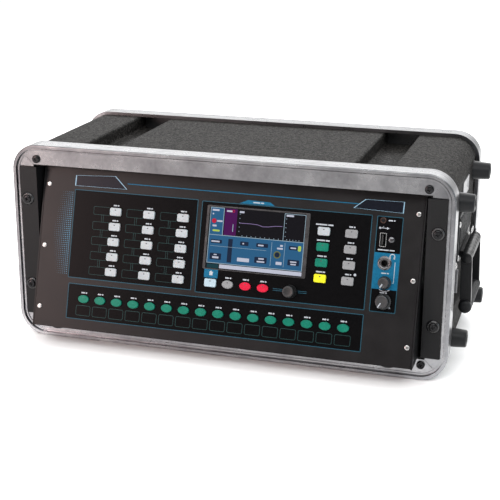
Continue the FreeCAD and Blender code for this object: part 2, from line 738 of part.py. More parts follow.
def make_handle_brackets():
    """Side plates whose knuckles hold the handle pins."""
    front, rear = case_front + d.knuckle_front, case_front + d.knuckle_rear
    plate = box("bracket_plate", (side_face, case_front + d.bracket_front, d.pivot_z - d.bracket_drop),
                (d.plate_wall, d.bracket_long, d.bracket_high))
    outer_x = side_face + d.plate_wall
    web = box("bracket_web", (outer_x, front, d.pivot_z - d.web_high / 2),
              (d.pivot_x - outer_x, rear - front, d.web_high))
    knuckle = cylinder("bracket_knuckle", (d.pivot_x, front, d.pivot_z), d.knuckle_radius,
                       rear - front, ALONG_DEPTH)
    bore = cylinder("bracket_bore", (d.pivot_x, front - 1, d.pivot_z), d.pivot_radius + d.shaft_clear,
                    rear - front + 2, ALONG_DEPTH)
    bracket = cut("bracket", fuse("bracket_blank", [plate, web, knuckle]), [bore])
    node(group("brackets", [bracket, mirrored("bracket_left", bracket, Vector(1, 0, 0))]),
         "handle_brackets")


def make_handles():
    """Drop handles: a pin with two eyes, two arms and a grip, hanging at rest."""
    eye_front = case_front + d.knuckle_front - d.handle_gap
    eye_rear = case_front + d.knuckle_rear + d.handle_gap
    pin = cylinder("handle_pin", (d.pivot_x, eye_front - d.pin_front, d.pivot_z), d.pivot_radius,
                   eye_rear - eye_front + d.pin_front + d.pin_rear, ALONG_DEPTH)
    eyes = [cylinder("handle_eye_front", (d.pivot_x, eye_front - d.front_eye_long, d.pivot_z), d.eye_radius,
                     d.front_eye_long, ALONG_DEPTH),
            cylinder("handle_eye_rear", (d.pivot_x, eye_rear, d.pivot_z), d.eye_radius, d.rear_eye_long,
                     ALONG_DEPTH)]
    arms = []
    for end, y in (("front", eye_front - (d.front_eye_long + d.arm_wide) / 2),
                   ("rear", eye_rear + (d.rear_eye_long - d.arm_wide) / 2)):
        arms.append(box("handle_arm_" + end, (d.pivot_x - d.arm_thick / 2, y, d.pivot_z - d.grip_drop),
                        (d.arm_thick, d.arm_wide, d.grip_drop)))
    grip_front = eye_front - d.grip_front
    grip = cylinder("handle_grip", (d.grip_x, grip_front, d.pivot_z - d.grip_drop), d.grip_radius,
                    eye_rear + d.grip_rear - grip_front, ALONG_DEPTH)
    right = fuse("handle", [pin, grip] + eyes + arms)
    node(right, "handle_right")
    node(mirrored("handle_mirrored", right, Vector(1, 0, 0)), "handle_left")


# ---------------------------------------------------------------- mixer body

SOFT_COLUMNS, SOFT_ROWS, SELECT_KEYS, COLUMN_ROWS = 3, 5, 16, 4
SCREEN_ROW = [("home_key", "pad", -9.6), ("copy_key", "oval", 10.2),
              ("paste_key", "oval", 30.2), ("reset_key", "oval", 49.9)]


def key_list():
    """Every key: node name, outline and place on the panel."""
    keys = []
    for column in range(SOFT_COLUMNS):
        for row in range(SOFT_ROWS):
            keys.append(("soft_key_%02d" % (column * SOFT_ROWS + row + 1), "pad",
                         d.soft_first_u + d.soft_pitch_u * column,
                         d.soft_first_v - d.soft_pitch_v * row))
    for index in range(SELECT_KEYS):
        keys.append(("select_key_%02d" % (index + 1), "oval",
                     d.select_first_u + d.select_pitch * index, d.select_v))
    for column, u in (("a", d.column_a_u), ("b", d.column_b_u)):
        for row in range(COLUMN_ROWS):
            keys.append(("column_%s_key_%d" % (column, row + 1), "pad", u,
                         d.column_first_v - d.column_pitch * row))
    for name, outline, u in SCREEN_ROW:
        keys.append((name, outline, as_size(u), d.screen_row_v))
    return keys


# knob: node name, u, v, skirt radius, cap radius, height
KNOBS = [("encoder_knob", 80.6, -23.9, 7.3, 6.9, 12.0),
         ("headphone_knob", 181.0, -4.7, 7.1, 6.4, 10.5),
         ("level_knob", 181.2, -24.4, 8.6, 7.4, 11.5)]
INDICATOR_U, INDICATOR_V = 173.7, 60.3
USB_HALF_WIDE, USB_HALF_HIGH = 3.4, 7.2


def draw_key(sketch, outline, extra, centre=(0.0, 0.0)):
    """Key outline grown by extra all round."""
    if outline == "pad":
        draw_rectangle(sketch, d.pad_key_wide / 2 + extra, d.pad_key_high / 2 + extra,
                       d.pad_key_corner + extra, centre)
    else:
        draw_ellipse(sketch, d.oval_key_wide / 2 + extra, d.oval_key_high / 2 + extra, centre)


def make_front_panel():
    """Flat tilted panel with a hole for each key, shaft, socket and the screen."""
    body = new_body("front_panel_body", on_panel(0.0, 0.0), ON_PANEL)
    middle = (d.panel_top - d.panel_bottom) / 2
    plate = new_sketch(body, "panel_plate")
    draw_rectangle(plate, d.panel_half_width, (d.panel_top + d.panel_bottom) / 2, 1.0, (0.0, middle))
    pad(body, plate, d.panel_wall, backwards=True)
    soft = new_sketch(body, "soft_key_holes")
    for row in range(SOFT_ROWS):
        draw_key(soft, "pad", d.key_gap, (d.soft_first_u, d.soft_first_v - d.soft_pitch_v * row))
    repeat(body, soft, pocket(body, soft, d.panel_wall), d.soft_pitch_u, SOFT_COLUMNS)
    select = new_sketch(body, "select_key_holes")
    draw_key(select, "oval", d.key_gap, (d.select_first_u, d.select_v))
    repeat(body, select, pocket(body, select, d.panel_wall), d.select_pitch, SELECT_KEYS)
    columns = new_sketch(body, "column_key_holes")
    for row in range(COLUMN_ROWS):
        draw_key(columns, "pad", d.key_gap, (d.column_a_u, d.column_first_v - d.column_pitch * row))
    repeat(body, columns, pocket(body, columns, d.panel_wall), d.column_b_u - d.column_a_u, 2)
    below = new_sketch(body, "screen_row_holes")
    for name, outline, u in SCREEN_ROW:
        draw_key(below, outline, d.key_gap, (u, d.screen_row_v))
    pocket(body, below, d.panel_wall)
    others = new_sketch(body, "panel_other_holes")
    draw_rectangle(others, d.screen_wide / 2 + 0.2, d.screen_high / 2 + 0.2, d.screen_corner,
                   (d.screen_u, d.screen_v))
    for name, u, v, skirt, cap, height in KNOBS:
        draw_circle(others, d.shaft_hole, (u, v))
    draw_circle(others, 5.1, (d.jack_u, d.jack_v))
    draw_circle(others, 2.6, (INDICATOR_U, INDICATOR_V))
    draw_rectangle(others, USB_HALF_WIDE + 0.1, USB_HALF_HIGH + 0.1, 0.2, (d.usb_u, d.usb_v))
    for u, v in panel_screw_places():
        draw_circle(others, 1.55, (u, v))
    pocket(body, others, d.panel_wall)
    node(body, "front_panel")


def make_key(name, outline, u, v):
    """Cap through the panel, a skirt that holds it in, and a stem on its switch."""
    body = new_body(name + "_body", on_panel(u, v), ON_PANEL)
    skirt_front = -(d.panel_wall + d.key_gap)
    cap = new_sketch(body, name + "_cap", skirt_front)
    draw_key(cap, outline, 0.0)
    cap_pad = pad(body, cap, d.key_proud - skirt_front)
    round_edges(body, cap_pad, d.key_round, flat_at(d.key_proud))
    skirt = new_sketch(body, name + "_skirt", skirt_front)
    draw_key(skirt, outline, d.key_skirt_wide)
    pad(body, skirt, d.key_skirt, backwards=True)
    stem = new_sketch(body, name + "_stem", skirt_front - d.key_skirt)
    draw_circle(stem, d.key_stem)
    pad(body, stem, d.key_stem_long, backwards=True)
    node(body, name)


def make_knob(name, u, v, skirt, cap, height):
    """Turned knob with its shaft."""
    body = new_body(name + "_body", on_panel(u, v), ON_PANEL)
    base = new_sketch(body, name + "_base", d.knob_clear)
    draw_circle(base, skirt)
    pad(body, base, height * 0.35)
    top = new_sketch(body, name + "_top", d.knob_clear + height * 0.35)
    draw_circle(top, cap)
    top_pad = pad(body, top, height * 0.65 - d.knob_clear)
    round_edges(body, top_pad, 0.7, flat_at(height))
    shaft = new_sketch(body, name + "_shaft", d.knob_clear)
    draw_circle(shaft, d.shaft_radius)
    pad(body, shaft, d.shaft_long + d.knob_clear, backwards=True)
    node(body, name)


def make_touch_screen():
    """Glass and bezel in the panel, with the display module behind."""
    body = new_body("screen_body", on_panel(d.screen_u, d.screen_v, -0.2), ON_PANEL)
    glass = new_sketch(body, "screen_glass")
    draw_rectangle(glass, d.screen_wide / 2, d.screen_high / 2, d.screen_corner)
    pad(body, glass, d.screen_wall, backwards=True)
    wide, high = d.screen_wide - 2, d.screen_high - 2
    back = d.screen_wall + d.display_wall + 0.2
    module = box("display_module", on_panel(d.screen_u - wide / 2, d.screen_v - high / 2, -back),
                 (wide, high, d.display_wall), ON_PANEL)
    node(group("screen_parts", [body, module]), "touch_screen")


def make_chassis():
    """Folded tray and lid: a wedge-fronted box that the panel closes."""
    y_of, z_of = case_front - d.panel_behind, centre_z + d.panel_rise

    def profile(shrink):
        low, high = centre_z - d.chassis_half_height + shrink, centre_z + d.chassis_half_height - shrink
        back = case_front + d.chassis_back - shrink
        return [(y_of + (low - z_of) * panel_slope, low), (back, low), (back, high),
                (y_of + (high - z_of) * panel_slope, high)]

    def wedge(name, half_width, shrink):
        upright = Rotation(Vector(0, 1, 0), Vector(0, 0, 1), Vector(1, 0, 0), "ZXY")
        body = new_body(name, (-half_width, 0.0, 0.0), upright)
        sketch = new_sketch(body, name + "_profile")
        draw_polygon(sketch, profile(shrink))
        pad(body, sketch, half_width * 2)
        return body

    outer = wedge("chassis_block", d.chassis_half_width, 0.0)
    inner = wedge("chassis_hollow", d.chassis_half_width - d.chassis_wall, d.chassis_wall)
    half = d.panel_half_width + 0.3
    slot = box("panel_seat", on_panel(-half, -110.0, -d.panel_wall), (half * 2, 220.0, 20.0), ON_PANEL)
    folded = cut("chassis_folded", outer, [inner, slot])
    wide, back = d.chassis_flange_wide, -(d.panel_wall + d.chassis_wall)
    flanges = [box("chassis_flange_%d" % index, on_panel(u, -d.chassis_flange_half - 1, back),
                   (wide, d.chassis_flange_half * 2, d.chassis_wall), ON_PANEL)
               for index, u in enumerate((half - wide, -half))]
    holes = [cylinder("chassis_hole_%d" % index, on_panel(u, v, back - 1), 1.5, 6.0, ON_PANEL)
             for index, (u, v) in enumerate(panel_screw_places())]
    whole = cut("chassis_whole", fuse("chassis_flanged", [folded] + flanges), holes)
    lid_line = centre_z + d.chassis_half_height - d.chassis_wall
    above = box("lid_space", (-300.0, -300.0, lid_line), (600.0, 600.0, 50.0))
    lid = doc.addObject("Part::Common", "chassis_lid")
    lid.Base, lid.Tool = whole, above
    tray = cut("chassis_tray", whole, [above])
    node(group("chassis_parts", [tray, lid]), "mixer_chassis")


def make_ears():
    """Rack ears: a flange, a leg beside the chassis and the spacers between them."""
    deep = d.ear_deep
    flange = box("ear_flange", (d.ear_inner, rack_plane, centre_z - d.ear_half_height),
                 (d.ear_outer - d.ear_inner, d.ear_wall, d.ear_half_height * 2))
    leg = box("ear_leg", (d.ear_inner, rack_plane, centre_z - d.ear_half_height),
              (d.ear_wall, deep, d.ear_half_height * 2))
    gap = d.ear_inner - d.chassis_half_width
    spacers = [cylinder("ear_spacer_%d_%d" % (y, z), (d.chassis_half_width, rack_plane + y, centre_z + z),
                        d.ear_spacer_radius, gap, FACING_RIGHT)
               for y in (48, 70) for z in (-60, 60)]
    slots = []
    for index in USED_HOLES:
        height = rack_hole_heights()[index]
        for side in (-1, 1):
            spot = (d.hole_span / 2 + d.ear_slot_half * side, rack_plane - 1, centre_z + height)
            slots.append(cylinder("ear_slot_end_%d" % len(slots), spot, d.rack_hole, d.ear_wall + 2,
                                  ALONG_DEPTH))
        slots.append(box("ear_slot_%d" % len(slots),
                         (d.hole_span / 2 - d.ear_slot_half, rack_plane - 1,
                          centre_z + height - d.rack_hole),
                         (d.ear_slot_half * 2, d.ear_wall + 2, d.rack_hole * 2)))
    ear = cut("ear", fuse("ear_blank", [flange, leg] + spacers), slots)
    node(group("ears", [ear, mirrored("ear_left", ear, Vector(1, 0, 0))]), "rack_ears")


def make_front_sockets():
    """Headphone socket, USB socket and power indicator."""
    depth = 28.0
    body = cylinder("jack_body", on_panel(d.jack_u, d.jack_v, -depth), 7.0, depth - d.panel_wall, ON_PANEL)
    bush = cylinder("jack_bush", on_panel(d.jack_u, d.jack_v, -depth), 5.0, depth + 1.6, ON_PANEL)
    nut = cylinder("jack_nut", on_panel(d.jack_u, d.jack_v), 6.6, 1.6, ON_PANEL)
    bore = cylinder("jack_bore_space", on_panel(d.jack_u, d.jack_v, 1.6 - d.jack_long), d.jack_bore,
                    d.jack_long + 5, ON_PANEL)
    jack = cut("jack", fuse("jack_blank", [body, bush, nut]), [bore])
    wide, high, wall = USB_HALF_WIDE, USB_HALF_HIGH, 0.7
    shell = box("usb_shell", on_panel(d.usb_u - wide, d.usb_v - high, -17.0), (wide * 2, high * 2, 17.4),
                ON_PANEL)
    space = box("usb_space", on_panel(d.usb_u - wide + wall, d.usb_v - high + wall, -15.0),
                ((wide - wall) * 2, (high - wall) * 2, 20.0), ON_PANEL)
    usb = cut("usb", shell, [space])
    lamp = cylinder("indicator", on_panel(INDICATOR_U, INDICATOR_V, -6.0), 2.5, 6.5, ON_PANEL)
    node(group("socket_parts", [jack, usb, lamp]), "front_sockets")


def make_electronics():
    """Key board with its switches and controls, main board, power supply, rear sockets."""
    things = []
    drop, wall = d.board_drop, d.board_wall
    blank = box("key_board_blank", on_panel(-200.0, -80.0, -drop - wall), (400.0, 158.0, wall), ON_PANEL)
    windows = [box("board_screen_window", on_panel(-22.0, -11.0, -30.0), (119.5, 110.0, 40.0), ON_PANEL),
               box("board_socket_window", on_panel(162.0, 5.0, -30.0), (60.0, 110.0, 40.0), ON_PANEL)]
    things.append(cut("key_board", blank, windows))
    switch_top = d.panel_wall + d.key_gap + d.key_skirt + d.key_stem_long + d.key_travel + d.key_gap
    half = 3.0
    for name, outline, u, v in key_list():
        things.append(box(name + "_switch", on_panel(u - half, v - half, -drop),
                          (half * 2, half * 2, drop - switch_top), ON_PANEL))
    for name, u, v, skirt, cap, height in KNOBS:
        block = box(name + "_block", on_panel(u - 6, v - 6, -drop), (12.0, 12.0, 7.0), ON_PANEL)
        hole = cylinder(name + "_bore", on_panel(u, v, -drop - 1), d.shaft_radius + d.shaft_clear, 20.0,
                        ON_PANEL)
        things.append(cut(name + "_control", block, [hole]))
    floor = centre_z - d.chassis_half_height + d.chassis_wall
    rear = case_front + d.chassis_back - d.chassis_wall
    things.append(box("main_board", (-170.0, rear - 125, floor + 8), (340.0, 100.0, wall)))
    things.append(box("power_supply", (-190.0, rear - 105, floor + 30), (90.0, 60.0, 40.0)))
    for row in range(3):
        for column in range(13):
            x = -192.0 + 30.0 * column
            things.append(box("rear_socket_%d_%d" % (row, column), (x, rear - 22, floor + 22 + 42.0 * row),
                              (24.0, 22.0, 28.0)))
    node(group("electronic_parts", things), "electronics")


# ---------------------------------------------------------------- build, check, write

def check():
    """Stop if anything failed, is empty or invalid, or if a pocket removed nothing."""
    for thing in doc.Objects:
        if "Invalid" in thing.State or "Error" in thing.State:
            raise RuntimeError("%s is %s" % (thing.Label, thing.State))
        if thing.TypeId == "PartDesign::Pocket":
            if thing.Shape.Volume > thing.BaseFeature.Shape.Volume - 0.01:
                raise RuntimeError(thing.Label + " removed nothing")
    for thing in nodes:
        if thing.Shape.isNull() or not thing.Shape.isValid():
            raise RuntimeError(thing.Label + " has no valid shape")


def write():
    os.makedirs("parts", exist_ok=True)
    for thing in nodes:
        thing.Shape.exportStep("parts/%s.step" % thing.Label)


def main():
    make_shell()
    make_valance_set()
    make_rails()
    make_screws()
    make_feet()
    make_handle_brackets()
    make_handles()
    make_front_panel()
    make_chassis()
    make_ears()
    make_touch_screen()
    make_front_sockets()
    make_electronics()
    for key in key_list():
        make_key(*key)
    for knob in KNOBS:
        make_knob(*knob)
    doc.recompute()
    check()
    write()
    print("wrote %d sub-parts" % len(nodes))


main()
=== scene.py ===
import itertools
import json
import math
import random
from collections import defaultdict

import bpy
import bmesh
from mathutils import Matrix, Vector

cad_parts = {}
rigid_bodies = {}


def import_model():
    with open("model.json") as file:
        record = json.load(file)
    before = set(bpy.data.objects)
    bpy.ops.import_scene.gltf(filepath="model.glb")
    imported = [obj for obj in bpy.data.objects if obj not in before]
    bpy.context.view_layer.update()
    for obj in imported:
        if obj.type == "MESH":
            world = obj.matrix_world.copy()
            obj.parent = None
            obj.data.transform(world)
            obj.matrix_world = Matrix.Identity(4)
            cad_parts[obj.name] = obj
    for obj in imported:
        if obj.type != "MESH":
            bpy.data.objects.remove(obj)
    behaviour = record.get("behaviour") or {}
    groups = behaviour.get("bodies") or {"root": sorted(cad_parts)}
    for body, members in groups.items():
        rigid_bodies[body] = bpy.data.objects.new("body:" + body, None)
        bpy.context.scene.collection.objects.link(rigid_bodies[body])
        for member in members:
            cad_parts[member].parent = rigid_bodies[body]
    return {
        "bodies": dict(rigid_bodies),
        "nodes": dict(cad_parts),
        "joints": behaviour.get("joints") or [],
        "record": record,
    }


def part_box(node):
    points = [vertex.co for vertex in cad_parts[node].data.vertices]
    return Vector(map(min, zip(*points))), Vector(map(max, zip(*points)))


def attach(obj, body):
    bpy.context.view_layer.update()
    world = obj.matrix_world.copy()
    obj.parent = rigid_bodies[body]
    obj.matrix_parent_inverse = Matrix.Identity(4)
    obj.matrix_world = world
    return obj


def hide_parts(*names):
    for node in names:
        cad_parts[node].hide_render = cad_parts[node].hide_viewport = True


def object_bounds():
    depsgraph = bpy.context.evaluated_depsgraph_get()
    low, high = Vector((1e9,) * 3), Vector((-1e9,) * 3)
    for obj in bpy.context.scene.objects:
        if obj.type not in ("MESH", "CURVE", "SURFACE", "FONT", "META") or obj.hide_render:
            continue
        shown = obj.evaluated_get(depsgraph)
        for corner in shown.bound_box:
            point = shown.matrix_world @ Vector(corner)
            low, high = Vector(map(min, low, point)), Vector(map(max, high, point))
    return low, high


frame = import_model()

# Looks for a rack mixing console in its carry case. Sizes below are millimetres unless a name
# says otherwise; MM turns them into Blender's metres. Places on the tilted front panel are given
# as u (to the right), v (up along the panel) and w (out from its face).

MM = 0.001
JOINTS = {joint["name"]: joint for joint in frame["joints"]}
NODES = frame["nodes"]
CAD_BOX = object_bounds()
random.seed(7)

CASE = "case"

# ---- the panel's own frame

# The encoder sits at this place on the panel; its joint gives the panel's plane.
ENCODER = (80.6, -23.9)
encoder = JOINTS["encoder_knob_turn"]
PANEL_N = -Vector(encoder["axis"]).normalized()
PANEL_U = Vector((1, 0, 0))
PANEL_V = PANEL_N.cross(PANEL_U)
PANEL_ORIGIN = Vector(encoder["pos_m"]) - PANEL_U * ENCODER[0] * MM - PANEL_V * ENCODER[1] * MM


def panel_place(node):
    """Centre of a key or knob node as u, v on the panel."""
    low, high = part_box(node)
    offset = (low + high) / 2 - PANEL_ORIGIN
    return offset.dot(PANEL_U) / MM, offset.dot(PANEL_V) / MM


PANEL_FRAME = Matrix((PANEL_U, PANEL_V, PANEL_N)).transposed().to_4x4()
PANEL_FRAME.translation = PANEL_ORIGIN
PANEL_FRAME = PANEL_FRAME @ Matrix.Scale(MM, 4)


def shift(x, y, z):
    """Move without a turn."""
    return Matrix.Translation(Vector((x, y, z)))


def facing(direction, origin):
    """Frame in millimetres at origin (metres) whose +Z points along direction."""
    turn = Vector((0, 0, 1)).rotation_difference(Vector(direction)).to_matrix().to_4x4()
    return shift(*origin) @ turn @ Matrix.Scale(MM, 4)


# ---- materials

def new_material(name, colour, roughness, metallic=0.0, **sockets):
    """Principled material with plain values set on the shader's own sockets."""
    material = bpy.data.materials.new(name)
    material.use_nodes = True
    shader = material.node_tree.nodes["Principled BSDF"]
    shader.inputs["Base Color"].default_value = (*colour, 1)
    shader.inputs["Roughness"].default_value = roughness
    shader.inputs["Metallic"].default_value = metallic
    for socket, value in sockets.items():
        shader.inputs[socket.replace("_", " ")].default_value = value
    return material


class Nodes:
    """Short way to add and join the nodes of a material or a world."""

    def __init__(self, owner, shader="Principled BSDF"):
        self.tree = owner.node_tree
        self.shader = self.tree.nodes[shader]
        self.coordinates = self.tree.nodes.new("ShaderNodeTexCoord")

    def add(self, kind, **values):
        node = self.tree.nodes.new(kind)
        for key, value in values.items():
            if hasattr(node, key):
                setattr(node, key, value)
            else:
                node.inputs[key.replace("_", " ")].default_value = value
        return node

    def join(self, source, target):
        self.tree.links.new(source, target)

    def split(self, coordinates):
        """X, Y and Z of a kind of coordinates."""
        node = self.add("ShaderNodeSeparateXYZ")
        self.join(self.coordinates.outputs[coordinates], node.inputs["Vector"])
        return node.outputs

    def place(self, stretch=(1, 1, 1)):
        """Object coordinates in metres, stretched along each axis."""
        mapping = self.add("ShaderNodeMapping")
        mapping.inputs["Scale"].default_value = stretch
        self.join(self.coordinates.outputs["Object"], mapping.inputs["Vector"])
        return mapping.outputs["Vector"]

    def noise(self, scale, detail=3.0, stretch=(1, 1, 1), rough=0.5):
        node = self.add("ShaderNodeTexNoise", Scale=scale, Detail=detail, Roughness=rough)
        self.join(self.place(stretch), node.inputs["Vector"])
        return node.outputs["Fac"]

    def voronoi(self, scale, stretch=(1, 1, 1), feature="F1"):
        node = self.add("ShaderNodeTexVoronoi", Scale=scale, feature=feature)
        self.join(self.place(stretch), node.inputs["Vector"])
        return node.outputs["Distance"]

    def ramp(self, value, stops):
        """Colour ramp; each stop is a position and a colour or a grey."""
        node = self.add("ShaderNodeValToRGB")
        elements = node.color_ramp.elements
        while len(elements) < len(stops):
            elements.new(0.5)
        for element, (position, colour) in zip(elements, stops):
            element.position = position
            if isinstance(colour, (int, float)):
                colour = (colour, colour, colour)
            element.color = (*colour, 1)
        self.join(value, node.inputs["Fac"])
        return node.outputs["Color"]

    def math(self, operation, first, second):
        node = self.add("ShaderNodeMath", operation=operation)
        for index, value in enumerate((first, second)):
            if isinstance(value, (int, float)):
                node.inputs[index].default_value = value
            else:
                self.join(value, node.inputs[index])
        return node.outputs["Value"]

    def bump(self, height, distance_mm, strength=1.0, below=None):
        node = self.add("ShaderNodeBump", Strength=strength, Distance=distance_mm * MM)
        self.join(height, node.inputs["Height"])
        if below is not None:
            self.join(below, node.inputs["Normal"])
        return node.outputs["Normal"]

    def set(self, socket, value):
        self.join(value, self.shader.inputs[socket])


def moulded_plastic():
    """Pebbled polyethylene of the case: cells about a millimetre wide with lighter crests."""
    material = new_material("case_pebble", (0.03, 0.029, 0.028), 0.6, Specular_IOR_Level=0.05)
    n = Nodes(material)
    cells = n.voronoi(430.0)
    fine = n.noise(700.0, 4.0)
    n.set("Normal", n.bump(fine, 0.3, 0.8, n.bump(cells, 0.6, 0.9)))
    mixed = n.math("ADD", n.math("MULTIPLY", fine, 0.6), n.math("MULTIPLY", n.noise(330.0, 5.0), 0.4))
    n.set("Base Color", n.ramp(mixed, [(0.44, (0.004, 0.0038, 0.0036)), (0.52, (0.014, 0.0133, 0.0125)),
                                       (0.65, (0.062, 0.058, 0.055))]))
    n.set("Roughness", n.ramp(cells, [(0.0, 0.5), (0.8, 0.75)]))
    return material


def satin_aluminium():
    """Extruded aluminium: drawing lines along the section, small dull scratches and smears, and painted light
    that makes it lighter towards the floor.
    """
    material = new_material("satin_aluminium", (0.30, 0.30, 0.31), 0.3, 1.0)
    n = Nodes(material)
    lines = n.noise(1.0, 4.0, (14.0, 2600.0, 14.0))
    wear = n.noise(38.0, 6.0, (1.0, 3.0, 1.0), 0.7)
    nicks = n.voronoi(210.0, (0.25, 1.6, 1.0))
    n.set("Normal", n.bump(lines, 0.03, 0.35, n.bump(nicks, 0.02, 0.25)))
    n.set("Roughness", n.ramp(wear, [(0.3, 0.22), (0.55, 0.32), (0.75, 0.46)]))
    streaks = n.noise(1.0, 5.0, (5.0, 420.0, 5.0), 0.6)
    tone = n.math("ADD", n.math("MULTIPLY", wear, 0.45), n.math("MULTIPLY", streaks, 0.55))
    grey = n.ramp(tone, [(0.36, (0.30, 0.30, 0.305)), (0.5, (0.20, 0.202, 0.21)),
                         (0.64, (0.12, 0.122, 0.13))])
    # Painted light: the colour is made lighter towards the floor, up to three times as light at the bottom as
    # higher up, standing in for bright light from the floor on the lower rail.
    painted_floor_light = n.ramp(n.split("Object")["Z"], [(0.008, 1.0), (0.03, 0.62), (0.12, 0.5), (0.2, 0.33)])
    scale = n.add("ShaderNodeVectorMath", operation="MULTIPLY")
    n.join(grey, scale.inputs[0])
    n.join(painted_floor_light, scale.inputs[1])
    lifted = n.add("ShaderNodeVectorMath", operation="SCALE", Scale=2.0)
    n.join(scale.outputs["Vector"], lifted.inputs["Vector"])
    n.set("Base Color", lifted.outputs["Vector"])
    return material


def powder_coat(name, colour, roughness, lift=1.5):
    """Fine-grained painted steel with faint handling marks."""
    material = new_material(name, colour, roughness, Specular_IOR_Level=0.16)
    n = Nodes(material)
    fine = n.noise(2600.0, 3.0)
    marks = n.noise(30.0, 6.0, (1, 1, 1), 0.65)
    n.set("Normal", n.bump(fine, 0.03, 0.3))
    n.set("Roughness", n.ramp(marks, [(0.3, roughness - 0.04), (0.7, roughness + 0.05)]))
    light = tuple(channel * lift for channel in colour)
    n.set("Base Color", n.ramp(marks, [(0.35, colour), (0.75, light)]))
    return material


def moulded(name, colour, roughness=0.4, grain=0.03, lift=1.12, **sockets):
    """Injection-moulded plastic or rubber with a light grain."""
    material = new_material(name, colour, roughness, **sockets)
    n = Nodes(material)
    fine = n.noise(1900.0, 3.0)
    broad = n.noise(120.0, 4.0)
    n.set("Normal", n.bump(fine, grain, 0.5))
    n.set("Roughness", n.ramp(broad, [(0.3, max(roughness - 0.06, 0.02)), (0.7, roughness + 0.08)]))
    light = tuple(min(channel * lift, 1) for channel in colour)
    n.set("Base Color", n.ramp(broad, [(0.3, colour), (0.7, light)]))
    return material


def plated(name, colour, roughness):
    """Plated or blackened steel with fine turning marks."""
    material = new_material(name, colour, roughness, 1.0)
    n = Nodes(material)
    fine = n.noise(1700.0, 3.0)
    broad = n.noise(240.0, 4.0)
    n.set("Normal", n.bump(fine, 0.015, 0.4))
    n.set("Roughness", n.ramp(broad, [(0.3, roughness), (0.75, roughness + 0.16)]))
    n.set("Base Color", n.ramp(broad, [(0.3, colour), (0.8, tuple(c * 0.8 for c in colour))]))
    return material


def srgb(*channels):
    """Linear colour from display values of 0 to 255."""
    return tuple(value / 255 / 12.92 if value <= 10 else ((value / 255 + 0.055) / 1.055) ** 2.4
                 for value in channels)


def ink(name, colour, roughness, sheen):
    """Screen-printed ink: slightly uneven colour and sheen."""
    material = new_material(name, colour, roughness, Specular_IOR_Level=sheen)
    n = Nodes(material)
    uneven = n.noise(420.0, 4.0)
    n.set("Roughness", n.ramp(uneven, [(0.3, roughness - 0.02), (0.7, roughness + 0.03)]))
    thin = tuple(channel * 0.82 for channel in colour)
    n.set("Base Color", n.ramp(uneven, [(0.35, thin), (0.6, colour)]))
    return material


def lit(name, colour, strength):
    """Lit part of the screen behind glossy glass, with a faint pixel grid."""
    material = new_material(name, (0.004, 0.004, 0.005), 0.2, Specular_IOR_Level=0.05)
    n = Nodes(material)
    cells = n.voronoi(2600.0)
    glow = n.ramp(cells, [(0.0, colour), (0.75, tuple(channel * 0.75 for channel in colour))])
    n.set("Emission Color", glow)
    n.shader.inputs["Emission Strength"].default_value = strength
    return material


MATERIALS = {
    "shell": moulded_plastic(),
    "aluminium": satin_aluminium(),
    "panel": powder_coat("panel_paint", (0.0044, 0.0041, 0.0044), 0.36),
    "chassis": powder_coat("chassis_paint", (0.0038, 0.0038, 0.0042), 0.4),
    "rail": powder_coat("rail_paint", (0.0035, 0.0034, 0.0035), 0.45),
    "rubber": moulded("foot_rubber", (0.006, 0.0066, 0.0075), 0.42, 0.04, Specular_IOR_Level=0.18),
    "handle": moulded("handle_paint", (0.005, 0.0054, 0.006), 0.36, 0.03, Specular_IOR_Level=0.18),
    "white_key": moulded("white_key_plastic", (0.27, 0.29, 0.305), 0.32, 0.01, Subsurface_Weight=0.05,
                         Specular_IOR_Level=0.2),
    "green_key": moulded("green_key_plastic", (0.001, 0.105, 0.068), 0.35, 0.01, Specular_IOR_Level=0.15),
    "red_key": moulded("red_key_plastic", (0.38, 0.006, 0.026), 0.35, 0.01, Specular_IOR_Level=0.15),
    "yellow_key": moulded("yellow_key_plastic", (0.47, 0.46, 0.012), 0.35, 0.01, Specular_IOR_Level=0.15),
    "grey_key": moulded("grey_key_plastic", (0.16, 0.165, 0.17), 0.35, 0.01, Specular_IOR_Level=0.2),
    "blue_key": moulded("blue_grey_key_plastic", (0.26, 0.35, 0.40), 0.35, 0.01),
    "knob": moulded("knob_plastic", (0.006, 0.006, 0.0065), 0.36, 0.05),
    "glass": moulded("screen_cover", (0.010, 0.010, 0.012), 0.12, 0.0),
    "nickel": plated("nickel_plate", (0.42, 0.415, 0.41), 0.22),
    "black_steel": plated("blackened_steel", (0.022, 0.022, 0.023), 0.14),
    "dark_chrome": plated("dark_chrome", (0.10, 0.10, 0.105), 0.16),
    "gloss_black": moulded("gloss_black", (0.004, 0.004, 0.0045), 0.2, 0.01),
    "board": moulded("solder_mask", (0.012, 0.12, 0.05), 0.35, 0.02),
    "knob_grey": moulded("grey_knob_plastic", (0.010, 0.0105, 0.0115), 0.36, 0.05),
    "bezel": moulded("bezel_plastic", (0.016, 0.016, 0.017), 0.3, 0.02),
    "brown_steel": plated("brown_steel", (0.07, 0.042, 0.034), 0.35),
    "lamp_off": moulded("lamp_window", (0.05, 0.05, 0.055), 0.2, 0.0),
    "lamp_green": moulded("green_lamp_window", (0.004, 0.12, 0.09), 0.2, 0.0),
    "ink_black": ink("ink_black", (0.0016, 0.0016, 0.0019), 0.3, 0.05),
}

# Display colour, roughness and sheen of each printed ink.
INKS = {"line": ((22, 62, 76), 0.4, 0.15), "dim": ((22, 50, 50), 0.4, 0.15),
        "blue": ((4, 82, 112), 0.4, 0.12), "navy": ((8, 12, 22), 0.3, 0.12),
        "pale_line": ((120, 155, 175), 0.4, 0.35),
        "teal": ((28, 88, 112), 0.4, 0.35), "white": ((150, 156, 162), 0.4, 0.2)}
